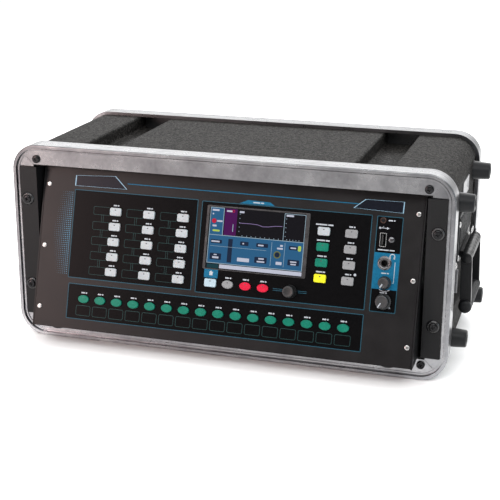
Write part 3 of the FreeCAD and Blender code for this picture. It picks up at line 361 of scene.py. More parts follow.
# Display colour and strength of each lit colour of the screen.
LIT = {"black": ((8, 6, 11), 0.5), "blue": ((40, 98, 140), 1.0), "dark_blue": ((22, 42, 70), 0.8),
       "purple": ((76, 4, 84), 1.0), "white": ((205, 208, 225), 1.0), "pale": ((165, 190, 205), 1.0),
       "teal": ((10, 60, 70), 1.0), "curve": ((150, 130, 180), 1.0), "olive": ((120, 120, 50), 1.0),
       "red": ((200, 30, 60), 1.0), "lime": ((190, 215, 90), 1.0)}
for name, (channels, *values) in INKS.items():
    MATERIALS["ink_" + name] = ink("ink_" + name, srgb(*channels), *values)
for name, (channels, strength) in LIT.items():
    MATERIALS["lcd_" + name] = lit("lcd_" + name, srgb(*channels), strength)

NODE_FINISH = {"case_shell": "shell", "valance_set": "aluminium", "rack_rails": "rail",
               "screws": "black_steel", "rubber_feet": "rubber", "handle_brackets": "handle",
               "handle_left": "handle", "handle_right": "handle", "front_panel": "panel",
               "mixer_chassis": "chassis",
               "rack_ears": "chassis", "touch_screen": "glass", "front_sockets": "gloss_black",
               "electronics": "board", "column_a_key_1": "white_key", "column_a_key_2": "green_key",
               "column_a_key_3": "green_key", "column_a_key_4": "yellow_key", "home_key": "blue_key",
               "copy_key": "grey_key", "paste_key": "red_key", "reset_key": "red_key"}
FAMILY_FINISH = {"soft_key": "white_key", "select_key": "green_key", "column_b": "grey_key"}


def finish_cad_nodes():
    """Each CAD node gets its family's or its own material, and any other node knob plastic."""
    for name, obj in NODES.items():
        family = [choice for start, choice in FAMILY_FINISH.items() if name.startswith(start)]
        finish = family[0] if family else NODE_FINISH.get(name, "knob")
        obj.data.materials.clear()
        obj.data.materials.append(MATERIALS[finish])


finish_cad_nodes()

# ---- mesh helpers

def circle_place(centre, reach, angle):
    """Place at a distance and an angle from a centre."""
    return centre[0] + reach * math.cos(angle), centre[1] + reach * math.sin(angle)


class Solid:
    """Points and faces in millimetres, gathered into one mesh."""

    def __init__(self):
        self.points = []
        self.faces = []

    def add(self, points, faces, frame=None):
        first = len(self.points)
        self.points += [frame @ Vector(point) if frame else Vector(point) for point in points]
        self.faces += [[first + index for index in face] for face in faces]

    def put(self, other, frame):
        """Copy of another solid where a frame says."""
        self.add(other.points, other.faces, frame)

    def loft(self, rings, hollow=False, frame=None):
        """Skin through rings of equal length: capped, or closed from the last ring to the first."""
        count = len(rings[0])
        points = [point for ring in rings for point in ring]
        faces = []
        for level in range(len(rings) if hollow else len(rings) - 1):
            low = level * count
            high = (level + 1) % len(rings) * count
            for index in range(count):
                following = (index + 1) % count
                faces.append([low + index, low + following, high + following, high + index])
        if not hollow:
            faces.append(list(range(count))[::-1])
            faces.append(list(range(len(points) - count, len(points))))
        self.add(points, faces, frame)

    def prism(self, outline, low, high, frame=None):
        self.loft([[(x, y, level) for x, y in outline] for level in (low, high)], frame=frame)

    def border(self, outer, inner, low, high, frame=None):
        """Band between two outlines with the same number of corners."""
        rings = [[(x, y, level) for x, y in outline]
                 for outline, level in ((outer, low), (outer, high), (inner, high), (inner, low))]
        self.loft(rings, True, frame)

    def turned(self, profile, centre=(0.0, 0.0), sides=40, hollow=False, frame=None, flutes=0, depth=0.0):
        """Profile of (radius, height) turned about Z; flutes press a wave into the widest rings."""
        widest = max(radius for radius, height in profile)
        rings = []
        for radius, height in profile:
            ring = []
            for side in range(sides):
                angle = 2 * math.pi * side / sides
                wave = depth * (0.5 + 0.5 * math.cos(flutes * angle)) if flutes else 0.0
                reach = radius - (wave if radius > widest * 0.8 else 0.0)
                ring.append((*circle_place(centre, reach, angle), height))
            rings.append(ring)
        self.loft(rings, hollow, frame)

    def bar(self, start, end, width, low, high):
        """Straight printed stroke between two places."""
        along = Vector(end) - Vector(start)
        side = Vector((-along.y, along.x)).normalized() * width / 2
        first, last = Vector(start), Vector(end)
        self.prism([first + side, first - side, last - side, last + side], low, high)

    def arc(self, centre, radius, width, first_degrees, last_degrees, low, high, steps=20):
        """Curved printed stroke."""
        angles = [math.radians(first_degrees + (last_degrees - first_degrees) * step / steps)
                  for step in range(steps + 1)]
        outline = [circle_place(centre, reach, angle)
                   for reach, way in ((radius + width / 2, 1), (radius - width / 2, -1))
                   for angle in angles[::way]]
        self.prism(outline, low, high)

    def block(self, low, high, frame=None):
        """Box between two corners."""
        self.prism([(low[0], low[1]), (high[0], low[1]), (high[0], high[1]), (low[0], high[1])],
                   low[2], high[2], frame)


def rounded(half_x, half_y, radius, centre=(0.0, 0.0), steps=4):
    """Outline of a rectangle with round corners."""
    points = []
    for corner, (side_x, side_y) in enumerate(((1, 1), (-1, 1), (-1, -1), (1, -1))):
        for step in range(steps + 1):
            angle = math.pi / 2 * (corner + step / steps)
            middle = (centre[0] + side_x * (half_x - radius), centre[1] + side_y * (half_y - radius))
            points.append(circle_place(middle, radius, angle))
    return points


def area(left, bottom, right, top, radius=0.3, grow=0.0):
    """Round-cornered outline given by its sides."""
    return rounded((right - left) / 2 + grow, (top - bottom) / 2 + grow, max(radius + grow, 0.05),
                   ((left + right) / 2, (bottom + top) / 2))


def link(name, data):
    """New object in the scene."""
    obj = bpy.data.objects.new(name, data)
    bpy.context.scene.collection.objects.link(obj)
    return obj


def outward_mesh(name, points, faces):
    """Mesh with its faces turned outwards."""
    mesh = bpy.data.meshes.new(name)
    mesh.from_pydata(points, [], faces)
    builder = bmesh.new()
    builder.from_mesh(mesh)
    bmesh.ops.recalc_face_normals(builder, faces=builder.faces)
    builder.to_mesh(mesh)
    builder.free()
    return mesh


def piece(name, solid, material, frame=PANEL_FRAME, body=CASE, bevel=0.0, sharp=40):
    """Make the collected solid an object that rides on a body."""
    mesh = outward_mesh(name, [frame @ point for point in solid.points], solid.faces)
    mesh.shade_smooth()
    mesh.set_sharp_from_angle(angle=math.radians(sharp))
    mesh.materials.append(MATERIALS[material])
    obj = link(name, mesh)
    if bevel:
        modifier = obj.modifiers.new("soft_edges", "BEVEL")
        modifier.width = bevel * MM
        modifier.segments = 2
        modifier.limit_method = "ANGLE"
        modifier.angle_limit = math.radians(sharp)
    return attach(obj, body)


# ---- panel print

# Bottom and top of printed marks and captions; the ground under them is lower.
INK_LOW, GROUND_HIGH, INK_HIGH, CAPTION_HIGH = -0.05, 0.06, 0.11, 0.15
INK, CAPTION = (INK_LOW, INK_HIGH), (INK_LOW, CAPTION_HIGH)
LINE = 0.8
# The printed blocks: left, bottom, right, top.
SOFT_BLOCK = (-178.6, -34.0, -31.2, 65.8)
SCREEN_BLOCK = (-26.8, -35.5, 162.0, 65.0)
SELECT_BLOCK = (-177.0, -80.0, 162.0, -40.0)
SOCKET_BLOCK = (167.0, -36.0, 194.8, 64.8)
SOCKET_BLUE = (167.4, -11.8, 194.4, 26.5)
BLOCKS = (SOFT_BLOCK, SCREEN_BLOCK, SELECT_BLOCK, SOCKET_BLOCK)
LEFT_BADGE = [(-178.7, 81.3), (-130.5, 83.7), (-115.8, 70.0), (-178.9, 69.7)]
RIGHT_BADGE = [(140.8, 70.7), (152.8, 80.8), (194.6, 81.1), (194.3, 69.1)]
TAB = [(15.7, 65.4), (25.0, 69.5), (50.0, 69.0), (55.4, 65.4)]
LABEL_RISE = 7.2
HEADPHONE_KNOB, LEVEL_KNOB = (181.0, -4.7), (181.2, -24.4)
JACK, INDICATOR, DOME = (179.0, 15.8), (173.7, 60.3), (183.9, 40.7)
USB_OPENING = (171.7, 32.7, 178.7, 47.3)
SCREEN_OPENING = (-20.3, -8.9, 95.5, 61.3)
SHAFT_HOLE, JACK_HOLE, INDICATOR_HOLE = 3.6, 5.0, 2.6
# Half sizes of the two kinds of key, the gap round them, and the height of their tops.
PAD_KEY, OVAL_KEY, KEY_GAP, KEY_TOP, LAMP_RISE = (6.6, 4.45), (6.3, 4.4), 0.3, 2.2, 2.2
OVAL_KEYS = ("copy_key", "paste_key", "reset_key")

KEYS = {name: panel_place(name) for name in NODES if "_key" in name}


def shrunk(outline, amount):
    """Outline drawn in towards its middle by an amount measured at its corners."""
    middle = sum((Vector(point) for point in outline), Vector((0, 0))) / len(outline)
    return [Vector(point) - (Vector(point) - middle).normalized() * amount for point in outline]


def print_blocks():
    """Lines round the printed blocks, and the two blank badges."""
    fill, line = Solid(), Solid()
    for block in BLOCKS:
        line.border(area(*block, 1.2), area(*block, 1.2, -LINE), *INK)
    edge = Solid()
    for badge in (LEFT_BADGE, RIGHT_BADGE):
        inner = shrunk(badge, 1.1)
        edge.border(badge, inner, *INK)
        fill.prism(inner, INK_LOW, INK_HIGH - 0.02)
    piece("print_badge_fill", fill, "ink_navy")
    piece("print_badge_edge", edge, "ink_pale_line")
    piece("print_block_lines", line, "ink_line")


def key_hole(name, u, v):
    """Outline of a key's hole in the print."""
    if name.startswith("select") or name in OVAL_KEYS:
        sides = 32
        return [(u + (OVAL_KEY[0] + KEY_GAP) * math.cos(2 * math.pi * side / sides),
                 v + (OVAL_KEY[1] + KEY_GAP) * math.sin(2 * math.pi * side / sides))
                for side in range(sides)]
    return rounded(PAD_KEY[0] + KEY_GAP, PAD_KEY[1] + KEY_GAP, 1.8 + KEY_GAP, (u, v))


def openings():
    """Everything that comes through the panel, as one tool."""
    tool = Solid()
    for name, (u, v) in KEYS.items():
        tool.prism(key_hole(name, u, v), -1.0, 1.0)
    tool.prism(area(*SCREEN_OPENING, 1.5), -1.0, 1.0)
    tool.prism(area(*USB_OPENING, 0.8), -1.0, 1.0)
    for centre, radius in ((ENCODER, SHAFT_HOLE), (HEADPHONE_KNOB, SHAFT_HOLE), (LEVEL_KNOB, SHAFT_HOLE),
                           (JACK, JACK_HOLE), (INDICATOR, INDICATOR_HOLE)):
        tool.turned([(radius, -1.0), (radius, 1.0)], centre, 32)
    return tool


def print_ground():
    """Black ground of each block and the blue zones, cut where keys and sockets come through."""
    ground, blue = Solid(), Solid()
    for block in BLOCKS:
        ground.prism(area(*block, 1.2, -0.3), INK_LOW, GROUND_HIGH)
    blue.prism(area(*SOCKET_BLUE, 0.2), INK_LOW, INK_HIGH + 0.02)
    blue.prism(area(-17.7, -18.2, -2.1, -8.9, 0.4), INK_LOW, INK_HIGH + 0.02)
    blue.bar((-115.7, 76.3), (146.5, 75.4), 0.9, *INK)
    blue.prism(TAB, *INK)
    piece("print_ground", cut_solid(ground, openings()), "ink_black")
    piece("print_blue", cut_solid(blue, openings()), "ink_blue")


def print_label_boxes():
    """Outlines for handwritten labels beside the programmable keys and under the select keys."""
    soft, select = Solid(), Solid()
    reach, half_high, neck = 27.0, 4.6, 15.8
    for name, (u, v) in KEYS.items():
        if name.startswith("soft"):
            box = (u - reach, v - half_high, u - 7.2, v + half_high)
            soft.border(area(*box, 1.6), area(*box, 1.6, -0.4), *INK)
            if v > SOFT_BLOCK[1] + 15:
                for side in (-1.1, 1.1):
                    soft.bar((u - neck + side, v - half_high), (u - neck + side, v - 12.3), 0.4, *INK)
        if name.startswith("select"):
            box = (u - 8.75, -75.6, u + 8.75, -64.0)
            select.border(area(*box, 2.0), area(*box, 2.0, -0.5), *INK)
    piece("print_soft_boxes", soft, "ink_dim")
    piece("print_select_boxes", select, "ink_dim")


def print_captions():
    """Plain dashes where the captions are, one long and one short."""
    marks = Solid()
    wide = {"column_a_key_1": 9.5, "column_a_key_2": 7.0, "column_a_key_3": 5.0, "column_a_key_4": 5.0}
    for name, (u, v) in KEYS.items():
        half = wide.get(name, 3.4)
        split = half * 0.35
        for left, right in ((-half, split - 0.4), (split + 0.4, half)):
            marks.prism(area(u + left, v + LABEL_RISE - 0.75, u + right, v + LABEL_RISE + 0.75, 0.3), *INK)
    for u, v, half in ((182.8, 60.5, 3.6), (180.4, 5.2, 4.0), (180.4, -15.2, 3.8), (37.0, 67.4, 6.0),
                       (179.4, 29.4, 9.0)):
        marks.prism(area(u - half, v - 0.6, u + half * 0.3, v + 0.6, 0.3), *CAPTION)
        marks.prism(area(u + half * 0.3 + 0.8, v - 0.6, u + half, v + 0.6, 0.3), *CAPTION)
    marks.arc((186.6, 23.2), 2.5, 0.9, -60, 210, *CAPTION)
    marks.arc(HEADPHONE_KNOB, 9.0, 0.7, -128, -52, *CAPTION)
    for box in ((183.4, 20.6, 184.9, 23.2), (188.0, 20.4, 189.5, 23.0)):
        marks.prism(area(*box), *CAPTION)
    for start, end, width, high in (
            ((190.0, 17.5), (190.0, -4.3), 0.6, CAPTION_HIGH),
            ((190.0, -4.3), (188.6, -4.3), 0.6, CAPTION_HIGH),
            ((170.5, 52.2), (178.5, 52.2), 0.6, INK_HIGH), ((173.0, 52.2), (175.0, 54.0), 0.5, INK_HIGH),
            ((187.0, -30.4), (189.2, -30.4), 0.5, INK_HIGH), ((188.1, -31.5), (188.1, -29.3), 0.5, INK_HIGH)):
        marks.bar(start, end, width, INK_LOW, high)
    marks.prism([(178.2, 50.8), (181.0, 52.2), (178.2, 53.6)], *INK)
    marks.turned([(1.1, INK_LOW), (1.1, INK_HIGH)], (171.0, 52.2), 16)
    marks.turned([(1.5, INK_LOW), (1.5, INK_HIGH)], (148.8, 0.4), 6)
    marks.prism([(-12.6, -12.4), (-9.9, -10.2), (-7.2, -12.4), (-8.0, -12.4), (-8.0, -15.4), (-11.8, -15.4),
                 (-11.8, -12.4)], INK_LOW, INK_HIGH + 0.05)
    piece("print_captions", marks, "ink_white")
    guide = Solid()
    for left, right in ((61.0, 72.0), (89.0, 98.4)):
        for rise in (-0.9, 0.9):
            guide.bar((left, -23.6 + rise), (right, -23.6 + rise), 0.6, *INK)
    piece("print_encoder_guide", guide, "ink_line")


def print_halftone():
    """Field of dots left of the first block that shrink towards its outer side."""
    dots = Solid()
    pitch = 2.3
    for row in range(41):
        for column in range(9):
            u = -180.9 - column * pitch
            v = 62.0 - row * pitch
            radius = 0.82 - 0.075 * column - 0.25 * abs(row - 20) / 20
            if radius > 0.14:
                dots.turned([(radius, INK_LOW), (radius, INK_HIGH)], (u, v), 8)
    piece("print_halftone", dots, "ink_teal")


# ---- key details

def make_key_lamps():
    """Dark indicator window near the top of every key; it moves with its key."""
    for name, (u, v) in KEYS.items():
        lamp = Solid()
        lamp.prism(rounded(0.75, 0.55, 0.25, (u, v + LAMP_RISE)), KEY_TOP - 0.4, KEY_TOP + 0.03)
        piece("lamp_" + name, lamp, "lamp_green" if "select" in name else "lamp_off", body=name)


# ---- screen

GLASS = -0.2
# The lit picture: left, bottom, right, top, colour.
TILES = [
    ("lcd_black", -17.0, -7.5, 91.0, 59.0), ("lcd_blue", -15.4, -1.4, 90.6, 29.0),
    ("lcd_blue", -15.4, 28.0, -1.2, 58.6), ("lcd_purple", 0.4, 29.6, 14.2, 58.6),
    ("lcd_black", 17.0, 29.6, 66.0, 58.2), ("lcd_dark_blue", 6.6, 0.4, 11.6, 26.0),
    ("lcd_white", -1.4, -6.8, 91.0, -2.6), ("lcd_teal", -15.6, -7.2, -2.4, -2.8),
]
BUTTONS = [(-13.4, 20.0, -0.6, 24.0), (-13.2, 2.2, -0.2, 9.2), (20.2, 20.0, 29.6, 24.4),
           (38.4, 20.0, 51.6, 24.2), (37.6, 2.8, 51.4, 9.4), (74.8, 20.2, 84.6, 24.4),
           (74.6, 3.6, 87.4, 9.8)]
READOUTS = [(-14.2, 55.0, -6.4, 57.0), (-13.8, 51.0, -12.2, 52.6), (-8.2, 43.4, -1.8, 45.2),
            (-12.8, 38.0, -8.2, 40.0), (2.2, 55.0, 8.4, 56.8), (16.8, 55.0, 22.0, 57.0),
            (69.2, 55.4, 77.4, 57.4), (-12.6, 21.2, -3.2, 22.8), (-8.8, 7.0, -5.2, 8.2),
            (-10.2, 3.6, -3.0, 5.6), (22.8, 21.4, 24.6, 23.0), (40.4, 21.2, 46.6, 22.8),
            (42.0, 6.8, 48.2, 8.4), (40.4, 3.6, 49.0, 5.2), (76.6, 21.6, 82.8, 23.0),
            (77.4, 6.8, 84.4, 8.2), (78.0, 4.2, 84.0, 5.6), (65.0, 22.6, 68.0, 24.6),
            (61.8, 19.6, 68.2, 21.4), (61.6, 3.0, 68.2, 6.2), (18.2, 2.6, 31.8, 6.6)]


def make_screen():
    """Bezel, glass and a lit picture of generic panels and dials with no words."""
    bezel = Solid()
    bezel.border(area(-20.2, -8.8, 95.4, 61.0, 1.5), area(-17.4, -7.9, 91.4, 59.4, 0.6), GLASS - 0.2, 0.45)
    piece("screen_bezel", bezel, "bezel", bevel=0.15)
    layers = defaultdict(Solid)
    for level, (ink, left, bottom, right, top) in enumerate(TILES):
        layers[ink].prism(area(left, bottom, right, top, 0.2), GLASS - 0.1, GLASS + 0.03 + 0.012 * level)
    level = GLASS + 0.16
    white, dark = layers["lcd_white"], layers["lcd_dark_blue"]
    outline = layers["lcd_pale"]
    outline.border(area(-16.2, -1.8, 91.0, 29.4, 0.3), area(-15.6, -1.2, 90.4, 28.8, 0.2), GLASS, level)
    outline.border(area(-16.2, 28.8, -0.6, 59.0, 0.3), area(-15.6, 28.8, -1.2, 58.4, 0.2), GLASS, level)
    outline.border(area(67.2, 29.2, 90.8, 58.6, 0.3), area(67.7, 29.2, 90.3, 58.1, 0.2), GLASS, level)
    outline.bar((55.6, 1.0), (55.6, 27.0), 0.35, GLASS, level)
    outline.bar((70.2, 1.0), (70.2, 27.0), 0.35, GLASS, level)
    outline.bar((-13.5, 17.0), (50.0, 17.0), 0.3, GLASS, level)
    curve = [(17.2, 44.0), (30.0, 44.2), (38.0, 43.8), (44.0, 42.2), (50.0, 42.6), (58.0, 44.0), (65.6, 44.3)]
    for start, end in zip(curve, curve[1:]):
        layers["lcd_curve"].bar(start, end, 0.55, GLASS, level)
    for step in range(9):
        outline.bar((21.5 + step * 5.1, 29.8), (21.5 + step * 5.1, 31.0), 0.5, GLASS, level)
    for step in range(5):
        outline.bar((17.0, 35.0 + step * 4.7), (18.0, 35.0 + step * 4.7), 0.5, GLASS, level)
        outline.bar((69.0, 34.0 + step * 4.7), (70.0, 34.0 + step * 4.7), 0.5, GLASS, level)
        outline.bar((71.5 + step * 3.4, 30.0), (71.5 + step * 3.4, 31.2), 0.5, GLASS, level)
    outline.bar((10.4, 34.0), (10.4, 42.0), 0.7, GLASS, level)
    for box in BUTTONS:
        dark.prism(area(*box, 0.8), GLASS, level)
    for box in READOUTS:
        white.prism(area(*box, 0.4), GLASS, level + 0.02)
    dial = (62.4, 13.6)
    layers["lcd_olive"].border(rounded(3.9, 3.9, 3.8, dial, 8), rounded(2.9, 2.9, 2.8, dial, 8),
                               GLASS, level)
    dark.turned([(2.8, GLASS), (2.8, level)], dial, 24)
    layers["lcd_red"].turned([(2.6, GLASS), (2.6, level)], (-11.4, 44.2), 24)
    layers["lcd_red"].border(rounded(1.6, 1.4, 1.3, (9.8, 56.2), 6), rounded(1.0, 0.8, 0.7, (9.8, 56.2), 6),
                             GLASS, level)
    lime = layers["lcd_lime"]
    lime.prism(area(-12.4, 32.8, -4.2, 34.8, 0.9), GLASS, level)
    lime.prism(area(84.8, 19.4, 88.2, 25.2, 1.2), GLASS, level)
    for ink, solid in layers.items():
        piece("picture_" + ink, solid, ink)


# ---- knobs and sockets

# node: place, skirt radius, cap radius, height, colour of the cap, pointer's turn from straight up
KNOBS = {"encoder_knob": (ENCODER, 7.3, 6.5, 12.0, "knob", None),
         "headphone_knob": (HEADPHONE_KNOB, 7.1, 6.1, 10.5, "knob_grey", 148.0),
         "level_knob": (LEVEL_KNOB, 8.6, 7.3, 11.5, "knob_grey", 148.0)}


def make_knobs():
    """Fluted knobs with a domed or dished cap, shaft and pointer."""
    for name, ((u, v), skirt, cap, height, colour, pointer) in KNOBS.items():
        knob = Solid()
        profile = [(3.0, -10.0), (3.0, 0.6), (skirt * 0.86, 0.6), (skirt, 1.0), (skirt, 2.2),
                   (skirt * 0.97, 2.7), (cap + 0.25, 3.1), (cap, 3.6), (cap * 0.98, height - 1.2),
                   (cap * 0.95, height - 0.5), (cap * 0.86, height - 0.08), (cap * 0.76, height),
                   (cap * 0.66, height - 0.12), (cap * 0.3, height - 0.3)]
        knob.turned(profile, (u, v), 120, flutes=24, depth=0.4)
        made = piece(name + "_cap", knob, colour, body=name, sharp=55)
        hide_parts(name)
        if pointer is not None:
            mark = Solid()
            turn = math.radians(90 + pointer)
            for inner, outer, width, low, high in ((1.6, cap * 0.96, 1.25, height - 0.5, height + 0.04),
                                                   (cap - 0.2, skirt * 0.97, 1.2, 2.0, 4.2)):
                start, end = [circle_place((u, v), reach, turn) for reach in (inner, outer)]
                mark.bar(start, end, width, low, high)
            piece(name + "_pointer", mark, "ink_white", body=name)


def turned_piece(name, profile, centre, sides, material, sharp, hollow=True):
    """One turned part of the panel as a piece of its own."""
    solid = Solid()
    solid.turned(profile, centre, sides, hollow)
    piece(name, solid, material, sharp=sharp)


def make_socket_details():
    """Headphone nut and bore, USB shell and tongue, sensor dome and indicator ring."""
    turned_piece("jack_ring", [(7.4, 0.0), (7.4, 0.5), (6.9, 0.7), (6.9, 2.0), (6.2, 2.5), (5.2, 2.5),
                               (4.4, 1.9), (4.4, 0.0)], JACK, 48, "dark_chrome", 50)
    turned_piece("jack_bore", [(4.4, -12.0), (4.4, 1.8), (3.3, 1.9), (3.2, -12.0)], JACK, 32, "knob", 50)
    usb = Solid()
    usb.border(area(*USB_OPENING, 0.8), area(172.3, 33.3, 178.1, 46.7, 0.5), -14.0, 0.9)
    piece("usb_shell", usb, "nickel", bevel=0.12)
    tongue = Solid()
    tongue.block((173.4, 34.6, -14.0), (175.0, 45.4, -0.6))
    piece("usb_tongue", tongue, "knob", bevel=0.1)
    for step in range(4):
        contact = Solid()
        contact.block((175.0, 35.6 + step * 2.5, -9.0), (175.15, 36.8 + step * 2.5, -1.0))
        piece("usb_contact_%d" % (step + 1), contact, "nickel")
    turned_piece("socket_dome", [(3.4, -0.05), (3.4, 0.25), (2.9, 0.7), (1.9, 1.05), (0.7, 1.2)], DOME, 32,
                 "dark_chrome", 60, hollow=False)
    turned_piece("indicator_ring", [(3.1, 0.0), (3.1, 0.45), (2.5, 0.75), (2.1, 0.45), (2.1, 0.0)],
                 INDICATOR, 32, "brown_steel", 60)


# ---- case hardware

LOW_BODY, HIGH_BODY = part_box("mixer_chassis")
LOW_BOX, HIGH_BOX = CAD_BOX
CASE_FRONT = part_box("valance_set")[0].y
CASE_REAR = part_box("valance_set")[1].y
CENTRE_Z = (HIGH_BOX.z + LOW_BOX.z) / 2
# The shell's side face, from the middle, in metres.
SIDE_FACE = 0.2443
UNMOVED = Matrix.Identity(4)
FORWARD, BACKWARD = Vector((0, -1, 0)), Vector((0, 1, 0))


def cut_solid(base, tool):
    """Base with the tool's shape taken out, as points and faces."""
    objects = [link("cutting", outward_mesh("cutting", solid.points, solid.faces))
               for solid in (base, tool)]
    modifier = objects[0].modifiers.new("cut", "BOOLEAN")
    modifier.object = objects[1]
    modifier.solver = "EXACT"
    bpy.context.view_layer.update()
    finished = objects[0].evaluated_get(bpy.context.evaluated_depsgraph_get()).to_mesh()
    result = Solid()
    result.add([vertex.co.copy() for vertex in finished.vertices],
               [list(polygon.vertices) for polygon in finished.polygons])
    for obj in objects:
        mesh = obj.data
        bpy.data.objects.remove(obj)
        bpy.data.meshes.remove(mesh)
    return result


def cross_recess(size, level):
    """Tapered cross that a screwdriver fits, from a level down."""
    arm = size * 0.24
    cross = [(size, -arm), (size, arm), (arm, arm), (arm, size), (-arm, size), (-arm, arm), (-size, arm),
             (-size, -arm), (-arm, -arm), (-arm, -size), (arm, -size), (arm, -arm)]
    tool = Solid()
    tool.loft([[(x * 0.6, y * 0.6, level - size * 0.7) for x, y in cross],
               [(x, y, level + 0.5) for x, y in cross]])
    return tool


def screw_head(radius, height, domed=0.55):
    """Pan-head screw with a cross recess, standing on its seat."""
    head = Solid()
    head.turned([(radius * 0.45, -1.0), (radius * 0.45, 0.0), (radius * 0.96, 0.0), (radius, height * 0.15),
                 (radius, height * domed), (radius * 0.93, height * 0.78), (radius * 0.78, height * 0.93),
                 (radius * 0.55, height)], sides=36)
    return cut_solid(head, cross_recess(radius * 0.5, height))


# Places of the screws and feet, to each side of the middle, and the feet's distance from the edges.
VALANCE_SCREW, RACK_SCREW = (221.0, 96.65), (232.55, 50.8)
PANEL_SCREW_U, PANEL_SCREW_V = 210.35, 69.6
FOOT_INSET, FOOT_RISE = 41.0, 76.0


def corners(x, z):
    """The four places at this distance to each side of the middle."""
    return itertools.product((-x, x), (-z, z))


def any_turn():
    """Turn of a screw's cross, different on each screw."""
    return Matrix.Rotation(random.uniform(0, 3), 4, "Z")


def make_screws():
    """Black valance and rack screws with cup washers, and the panel's bright screws."""
    valance_head, rack_head, panel_head = screw_head(4.6, 2.6), screw_head(4.8, 2.4), screw_head(2.7, 1.2)
    black, bright, cups = Solid(), Solid(), Solid()
    for direction, seat in ((FORWARD, CASE_FRONT + 3.5 * MM), (BACKWARD, CASE_REAR - 3.5 * MM)):
        for x, rise in corners(*VALANCE_SCREW):
            black.put(valance_head, facing(direction, (x * MM, seat, CENTRE_Z + rise * MM)) @ any_turn())
    for x, rise in corners(*RACK_SCREW):
        frame = facing(FORWARD, (x * MM, CASE_FRONT + 1.0 * MM, CENTRE_Z + rise * MM))
        cups.turned([(7.5, 0.0), (7.3, 0.7), (6.4, 1.8), (5.6, 2.3), (4.4, 2.1), (3.2, 1.2), (3.1, 0.0)],
                    sides=36, hollow=True, frame=frame)
        black.put(rack_head, frame @ (shift(0, 0, 1.8) @ any_turn()))
    for u, v in itertools.product((-PANEL_SCREW_U, PANEL_SCREW_U), (-PANEL_SCREW_V, 0.0, PANEL_SCREW_V)):
        bright.put(panel_head, PANEL_FRAME @ (shift(u, v, 0) @ any_turn()))
    made = piece("case_screws", black, "black_steel", UNMOVED, sharp=45)
    piece("panel_screws", bright, "nickel", UNMOVED, sharp=45)
    piece("cup_washers", cups, "gloss_black", UNMOVED, sharp=45)
    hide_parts("screws")


def make_feet():
    """Rounded rubber feet with a sunk screw on the sides, and low ones under the mixer."""
    rubber, metal = Solid(), Solid()
    long = (HIGH_BOX.x - SIDE_FACE) / MM
    head = screw_head(3.4, 1.6)
    edges = (CASE_FRONT + FOOT_INSET * MM, CASE_REAR - FOOT_INSET * MM)
    for side, y, rise in itertools.product((-1, 1), edges, (-FOOT_RISE, FOOT_RISE)):
        frame = facing((side, 0, 0), (SIDE_FACE * side, y, CENTRE_Z + rise * MM))
        rubber.turned([(11.2, 0.0), (11.2, 0.8), (10.6, 2.2), (9.5, long - 1.6), (9.0, long - 0.5),
                       (8.0, long), (5.2, long), (4.6, long - 0.8), (4.4, long - 7.0)], sides=48, frame=frame)
        metal.put(head, frame @ shift(0, 0, long - 6.9))
    ends = (LOW_BODY.y + 14.0 * MM, HIGH_BODY.y - 18.0 * MM)
    for x, y in itertools.product((-190.0, 190.0), ends):
        rubber.turned([(9.0, 0.0), (9.0, 2.0), (8.4, 2.8), (7.4, 3.0)], sides=32,
                      frame=facing((0, 0, -1), (x * MM, y, LOW_BODY.z)))
    made = piece("feet", rubber, "rubber", UNMOVED, sharp=50)
    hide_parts("rubber_feet")
    piece("feet_screws", metal, "nickel", UNMOVED, sharp=45)


PIVOT_X, PIVOT_Z = 255.0, 118.5
KNUCKLE = (85.0, 151.0)
CASE_DEEP, FRAME_DEEP = 229.0, 29.2
GRIP_X, GRIP_DROP = 256.6, 56.0


def side_frame(side):
    """Millimetre frame on a side wall: X goes outwards, Y back, Z up; mirrored on the left."""
    frame = Matrix.Diagonal((side, 1, 1, 1)) @ Matrix.Scale(MM, 4)
    frame.translation = Vector((0, CASE_FRONT, 0))
    return frame


def along_depth(x, start, z):
    """Turned parts on a side run back from here."""
    return shift(x, start, z) @ Matrix.Rotation(math.radians(-90), 4, "X")


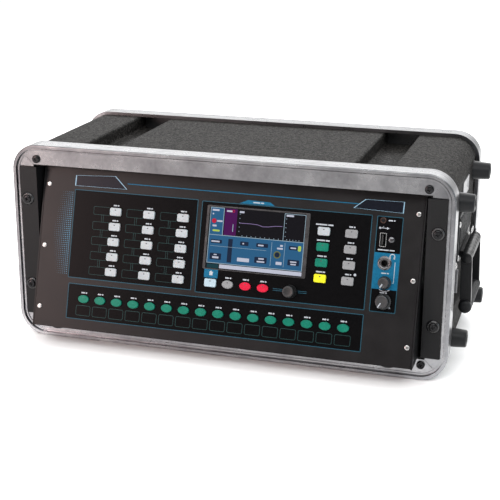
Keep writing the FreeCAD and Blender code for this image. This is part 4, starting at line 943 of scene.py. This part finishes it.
def make_brackets():
    """Ribbed handle brackets with ringed knuckles, and the rivets that hold them."""
    plastic, rivets = Solid(), Solid()
    front, rear = KNUCKLE
    for side in (-1, 1):
        frame = side_frame(side)
        face = SIDE_FACE / MM
        plate = [(60.0, 112.0), (162.0, 112.0), (162.0, 160.0), (155.0, 166.5), (67.0, 166.5), (60.0, 160.0)]
        upright = [[(face + out, y, z) for y, z in outline]
                   for out, outline in ((0.0, plate), (2.2, plate),
                                        (2.8, [(111 + (y - 111) * 0.985, 139 + (z - 139) * 0.97)
                                               for y, z in plate]))]
        plastic.loft(upright, frame=frame)
        for rib in range(11):
            y = 65.5 + rib * 9.0
            plastic.block((face + 2.0, y, 132.0), (face + 3.9, y + 2.4, 164.0), frame)
        plastic.block((face + 2.0, front, 114.8), (PIVOT_X, rear, 122.2), frame)
        grooves = [(6.6 if ring % 2 else 5.9, front + 0.4 + ring * (rear - front - 0.8) / 12)
                   for ring in range(13)]
        steps = [(3.1, front)]
        for radius, place in grooves:
            steps += [(radius, place - 0.4 if place > front + 1 else front), (radius, place + 0.4)]
        steps.append((3.1, rear))
        plastic.turned([(radius, place - front) for radius, place in steps], sides=40, hollow=True,
                       frame=frame @ along_depth(PIVOT_X, front, PIVOT_Z))
        rivet = Solid()
        rivet.turned([(3.4, 0.0), (3.4, 0.5), (2.6, 1.2), (1.2, 1.5)], sides=24)
        spin = Matrix.Rotation(math.radians(90), 4, "Y")
        spots = [(2.6, y, z) for z in (158.0, 120.0) for y in (64.0, 158.0)]
        spots += [(2.9, edge + way * inset, 117.0)
                  for edge, way in ((FRAME_DEEP, 1), (CASE_DEEP - FRAME_DEEP, -1)) for inset in (5.5, 16.5)]
        for out, y, z in spots:
            rivets.put(rivet, frame @ shift(face + out, y, z) @ spin)
    made = piece("brackets", plastic, "handle", UNMOVED, bevel=0.25, sharp=45)
    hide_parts("handle_brackets")
    piece("bracket_rivets", rivets, "nickel", UNMOVED, sharp=50)


def make_handle(node, side):
    """Drop handle: strap arms on a pin, and a soft grip with rounded ends and ribs."""
    front, rear = KNUCKLE[0] - 0.35, KNUCKLE[1] + 0.35
    frame = side_frame(side)
    grip_z = PIVOT_Z - GRIP_DROP
    arms = Solid()
    for low, high in ((front - 10.5, front - 3.5), (rear + 0.6, rear + 7.4)):
        ends = []
        for centre, radius, first in (((PIVOT_X, PIVOT_Z), 5.9, 0), ((GRIP_X, grip_z), 6.2, 180)):
            ends += [circle_place(centre, radius, math.radians(first + step * 15)) for step in range(13)]
        arms.loft([[(x, y, z) for x, z in ends] for y in (low, high)], frame=frame)
    arms.turned([(3.0, 0.0), (3.0, rear - front + 18.0)], sides=24,
                frame=frame @ along_depth(PIVOT_X, front - 11.5, PIVOT_Z))
    for start, long in ((front - 13.8, 13.8), (rear, 7.8)):
        arms.turned([(5.0, 0.0), (6.1, 0.8), (6.1, long * 0.35), (5.5, long * 0.4), (5.5, long * 0.6),
                     (6.1, long * 0.65), (6.1, long - 0.8), (5.0, long)], sides=36,
                    frame=frame @ along_depth(PIVOT_X, start, PIVOT_Z))
    made = piece(node + "_frame", arms, "handle", UNMOVED, body=node, bevel=0.4, sharp=40)
    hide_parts(node)
    grip = Solid()
    start, end = front - 16.0, rear + 9.0
    profile = [(3.0, 0.0), (5.6, 0.4), (6.8, 1.6), (7.4, 3.6)]
    ribs = 18
    pitch = (end - start - 16.0) / ribs
    for rib in range(ribs):
        place = 8.0 + rib * pitch
        profile += [(7.4, place), (6.7, place + pitch * 0.2), (6.7, place + pitch * 0.4),
                    (7.4, place + pitch * 0.6)]
    long = end - start
    profile += [(7.4, long - 3.6), (6.8, long - 1.6), (5.6, long - 0.4), (3.0, long)]
    grip.turned(profile, sides=40, frame=frame @ along_depth(GRIP_X, start, grip_z))
    piece(node + "_grip", grip, "rubber", UNMOVED, body=node, sharp=50)


def make_name_plate():
    """Blank bright plate with a raised rim on the right side."""
    frame = side_frame(1)
    face = SIDE_FACE / MM
    plate = Solid()
    plate.loft([[(face + out, y, z) for y, z in area(95.0, 177.5, 145.0, 196.5, 3.0, grow)]
                for out, grow in ((0.0, 0.0), (0.7, 0.0), (0.9, -0.3), (0.9, -1.2), (0.6, -1.6))],
               frame=frame)
    piece("blank_name_plate", plate, "aluminium", UNMOVED, sharp=50)


def make_rear_panel():
    """Sockets on the mixer's rear plate: rows of round locking sockets, jacks and the mains inlet."""
    face = HIGH_BODY.y
    shells, inserts, pins, plates = Solid(), Solid(), Solid(), Solid()
    head = screw_head(1.7, 0.9)
    for row in range(3):
        for column in range(13):
            x, z = -180.0 + 30.0 * column, 62.7 + 42.0 * row
            frame = facing(BACKWARD, (x * MM, face, z * MM))
            if row == 2 and column in (0, 1):
                continue
            if row == 2 and column > 7:
                shells.turned([(7.6, 0.0), (7.6, 1.6), (6.6, 3.2), (6.0, 6.4), (4.6, 6.8), (3.3, 6.4),
                               (3.3, 0.0)], sides=36, hollow=True, frame=frame)
                inserts.turned([(3.4, 0.0), (3.4, 0.4)], sides=24, frame=frame)
                continue
            plates.prism(rounded(12.9, 15.4, 2.0), 0.0, 1.2, frame)
            shells.turned([(11.4, 1.0), (11.4, 2.6), (10.6, 3.2), (9.4, 3.2), (8.8, 2.6), (8.8, 1.0)],
                          (0.0, -0.8), 40, True, frame)
            inserts.turned([(8.7, 1.0), (8.7, 2.2), (8.2, 2.5)], (0.0, -0.8), 36, frame=frame)
            if row == 0:
                inserts.prism(rounded(3.2, 1.5, 0.8, (0.0, 12.4)), 1.0, 3.4, frame)
            for step in range(3):
                angle = math.radians(90 + 120 * step + (180 if row else 0))
                spot = circle_place((0.0, -0.8), 4.9, angle)
                pins.turned([(1.5, 2.3), (1.5, 2.7), (0.9, 2.72)] if row == 0 else
                            [(1.2, 2.3), (1.2, 4.6), (0.6, 5.2)], spot, 16, frame=frame)
            for side_x, side_y in ((-10.4, 12.8), (10.4, -12.8)):
                pins.put(head, frame @ shift(side_x, side_y, 1.2))
    inlet = facing(BACKWARD, (-165.0 * MM, face, 146.7 * MM))
    plates.border(rounded(25.0, 15.5, 3.0), rounded(13.5, 10.0, 2.5), 0.0, 2.2, inlet)
    inserts.prism(rounded(13.6, 10.1, 2.5), 0.0, 0.5, inlet)
    for x in (-6.0, 0.0, 6.0):
        pins.block((x - 1.0, -2.4, 0.4), (x + 1.0, 2.4, 2.0), inlet)
    inserts.loft([[(x, y, level) for x, y in rounded(4.6 - inset, 9.5 - inset, 1.0, (19.5, 0.0))]
                  for level, inset in ((2.2, 0.0), (4.4, 0.3), (4.8, 0.8))], frame=inlet)
    piece("rear_socket_plates", plates, "chassis", UNMOVED, bevel=0.2)
    piece("rear_socket_rings", shells, "nickel", UNMOVED, sharp=45)
    piece("rear_socket_inserts", inserts, "handle", UNMOVED, sharp=45)
    piece("rear_socket_pins", pins, "nickel", UNMOVED, sharp=45)


# ---- build the pieces

print_blocks()
print_ground()
print_label_boxes()
print_captions()
print_halftone()
make_key_lamps()
make_screen()
make_knobs()
make_socket_details()
make_screws()
make_feet()
make_brackets()
make_handle("handle_right", 1)
make_handle("handle_left", -1)
make_name_plate()
make_rear_panel()

# ---- camera, floor and light

CAMERA_PLACE = (0.38716, -1.27114, 0.51706)
CAMERA_YAW, CAMERA_PITCH, CAMERA_ROLL = 16.878, 17.588, 0.227
CAMERA_LENS = 85.64
FLOOR_HALF = 2.2


def make_camera():
    data = bpy.data.cameras.new("camera")
    data.lens = CAMERA_LENS
    data.sensor_width = 36.0
    data.clip_start, data.clip_end = 0.05, 50.0
    camera = link("camera", data)
    turn = (Matrix.Rotation(math.radians(CAMERA_YAW), 4, "Z")
            @ Matrix.Rotation(math.radians(90 - CAMERA_PITCH), 4, "X")
            @ Matrix.Rotation(math.radians(CAMERA_ROLL), 4, "Z"))
    camera.matrix_world = shift(*CAMERA_PLACE) @ turn
    bpy.context.scene.camera = camera


def make_floor():
    material = new_material("floor_white", (0.93, 0.93, 0.93), 0.55)
    mesh = bpy.data.meshes.new("floor")
    mesh.from_pydata([(x * FLOOR_HALF, y * FLOOR_HALF, 0) for x, y in ((-1, -1), (1, -1), (1, 1), (-1, 1))],
                     [], [(0, 1, 2, 3)])
    mesh.materials.append(material)
    link("floor", mesh)


def add_softbox(name, place, aim, size, watts, colour):
    data = bpy.data.lights.new(name, "AREA")
    data.shape = "RECTANGLE"
    data.size, data.size_y = size
    data.energy = watts
    data.color = colour
    light = link(name, data)
    direction = Vector(aim) - Vector(place)
    light.rotation_euler = direction.to_track_quat("-Z", "Y").to_euler()
    light.location = place


def make_lights():
    """Bright surroundings, dimmer in front and white below, and five soft boxes."""
    world = bpy.data.worlds.new("studio")
    world.use_nodes = True
    n = Nodes(world, "Background")
    direction = n.split("Generated")
    below = n.math("LESS_THAN", direction["Z"], 0.02)
    n.set("Color", n.math("MAXIMUM", n.ramp(direction["Y"], [(0.0, 0.4), (0.6, 1)]), below))
    n.shader.inputs["Strength"].default_value = 1.05
    bpy.context.scene.world = world
    middle = (0, 0, 0.1)
    add_softbox("top_light", (0.1, -0.2, 1.9), middle, (4.4, 2.6), 50, (1.0, 1.0, 1.0))
    add_softbox("front_light", (0.2, -1.7, 1.7), (0, -0.3, 0), (2.6, 0.8), 42, (1.0, 1.0, 1.0))
    add_softbox("back_light", (0.0, 2.6, 1.6), (0, 2.0, 0), (5.0, 1.6), 120, (1.0, 1.0, 1.0))
    add_softbox("left_light", (-1.1, -1.5, 0.5), middle, (0.4, 0.8), 16, (1.0, 0.74, 0.70))
    add_softbox("right_light", (2.0, -0.6, 0.6), middle, (0.8, 1.0), 7, (0.78, 0.93, 1.0))


make_camera()
make_floor()
make_lights()
bpy.context.scene.view_settings.view_transform = "Standard"
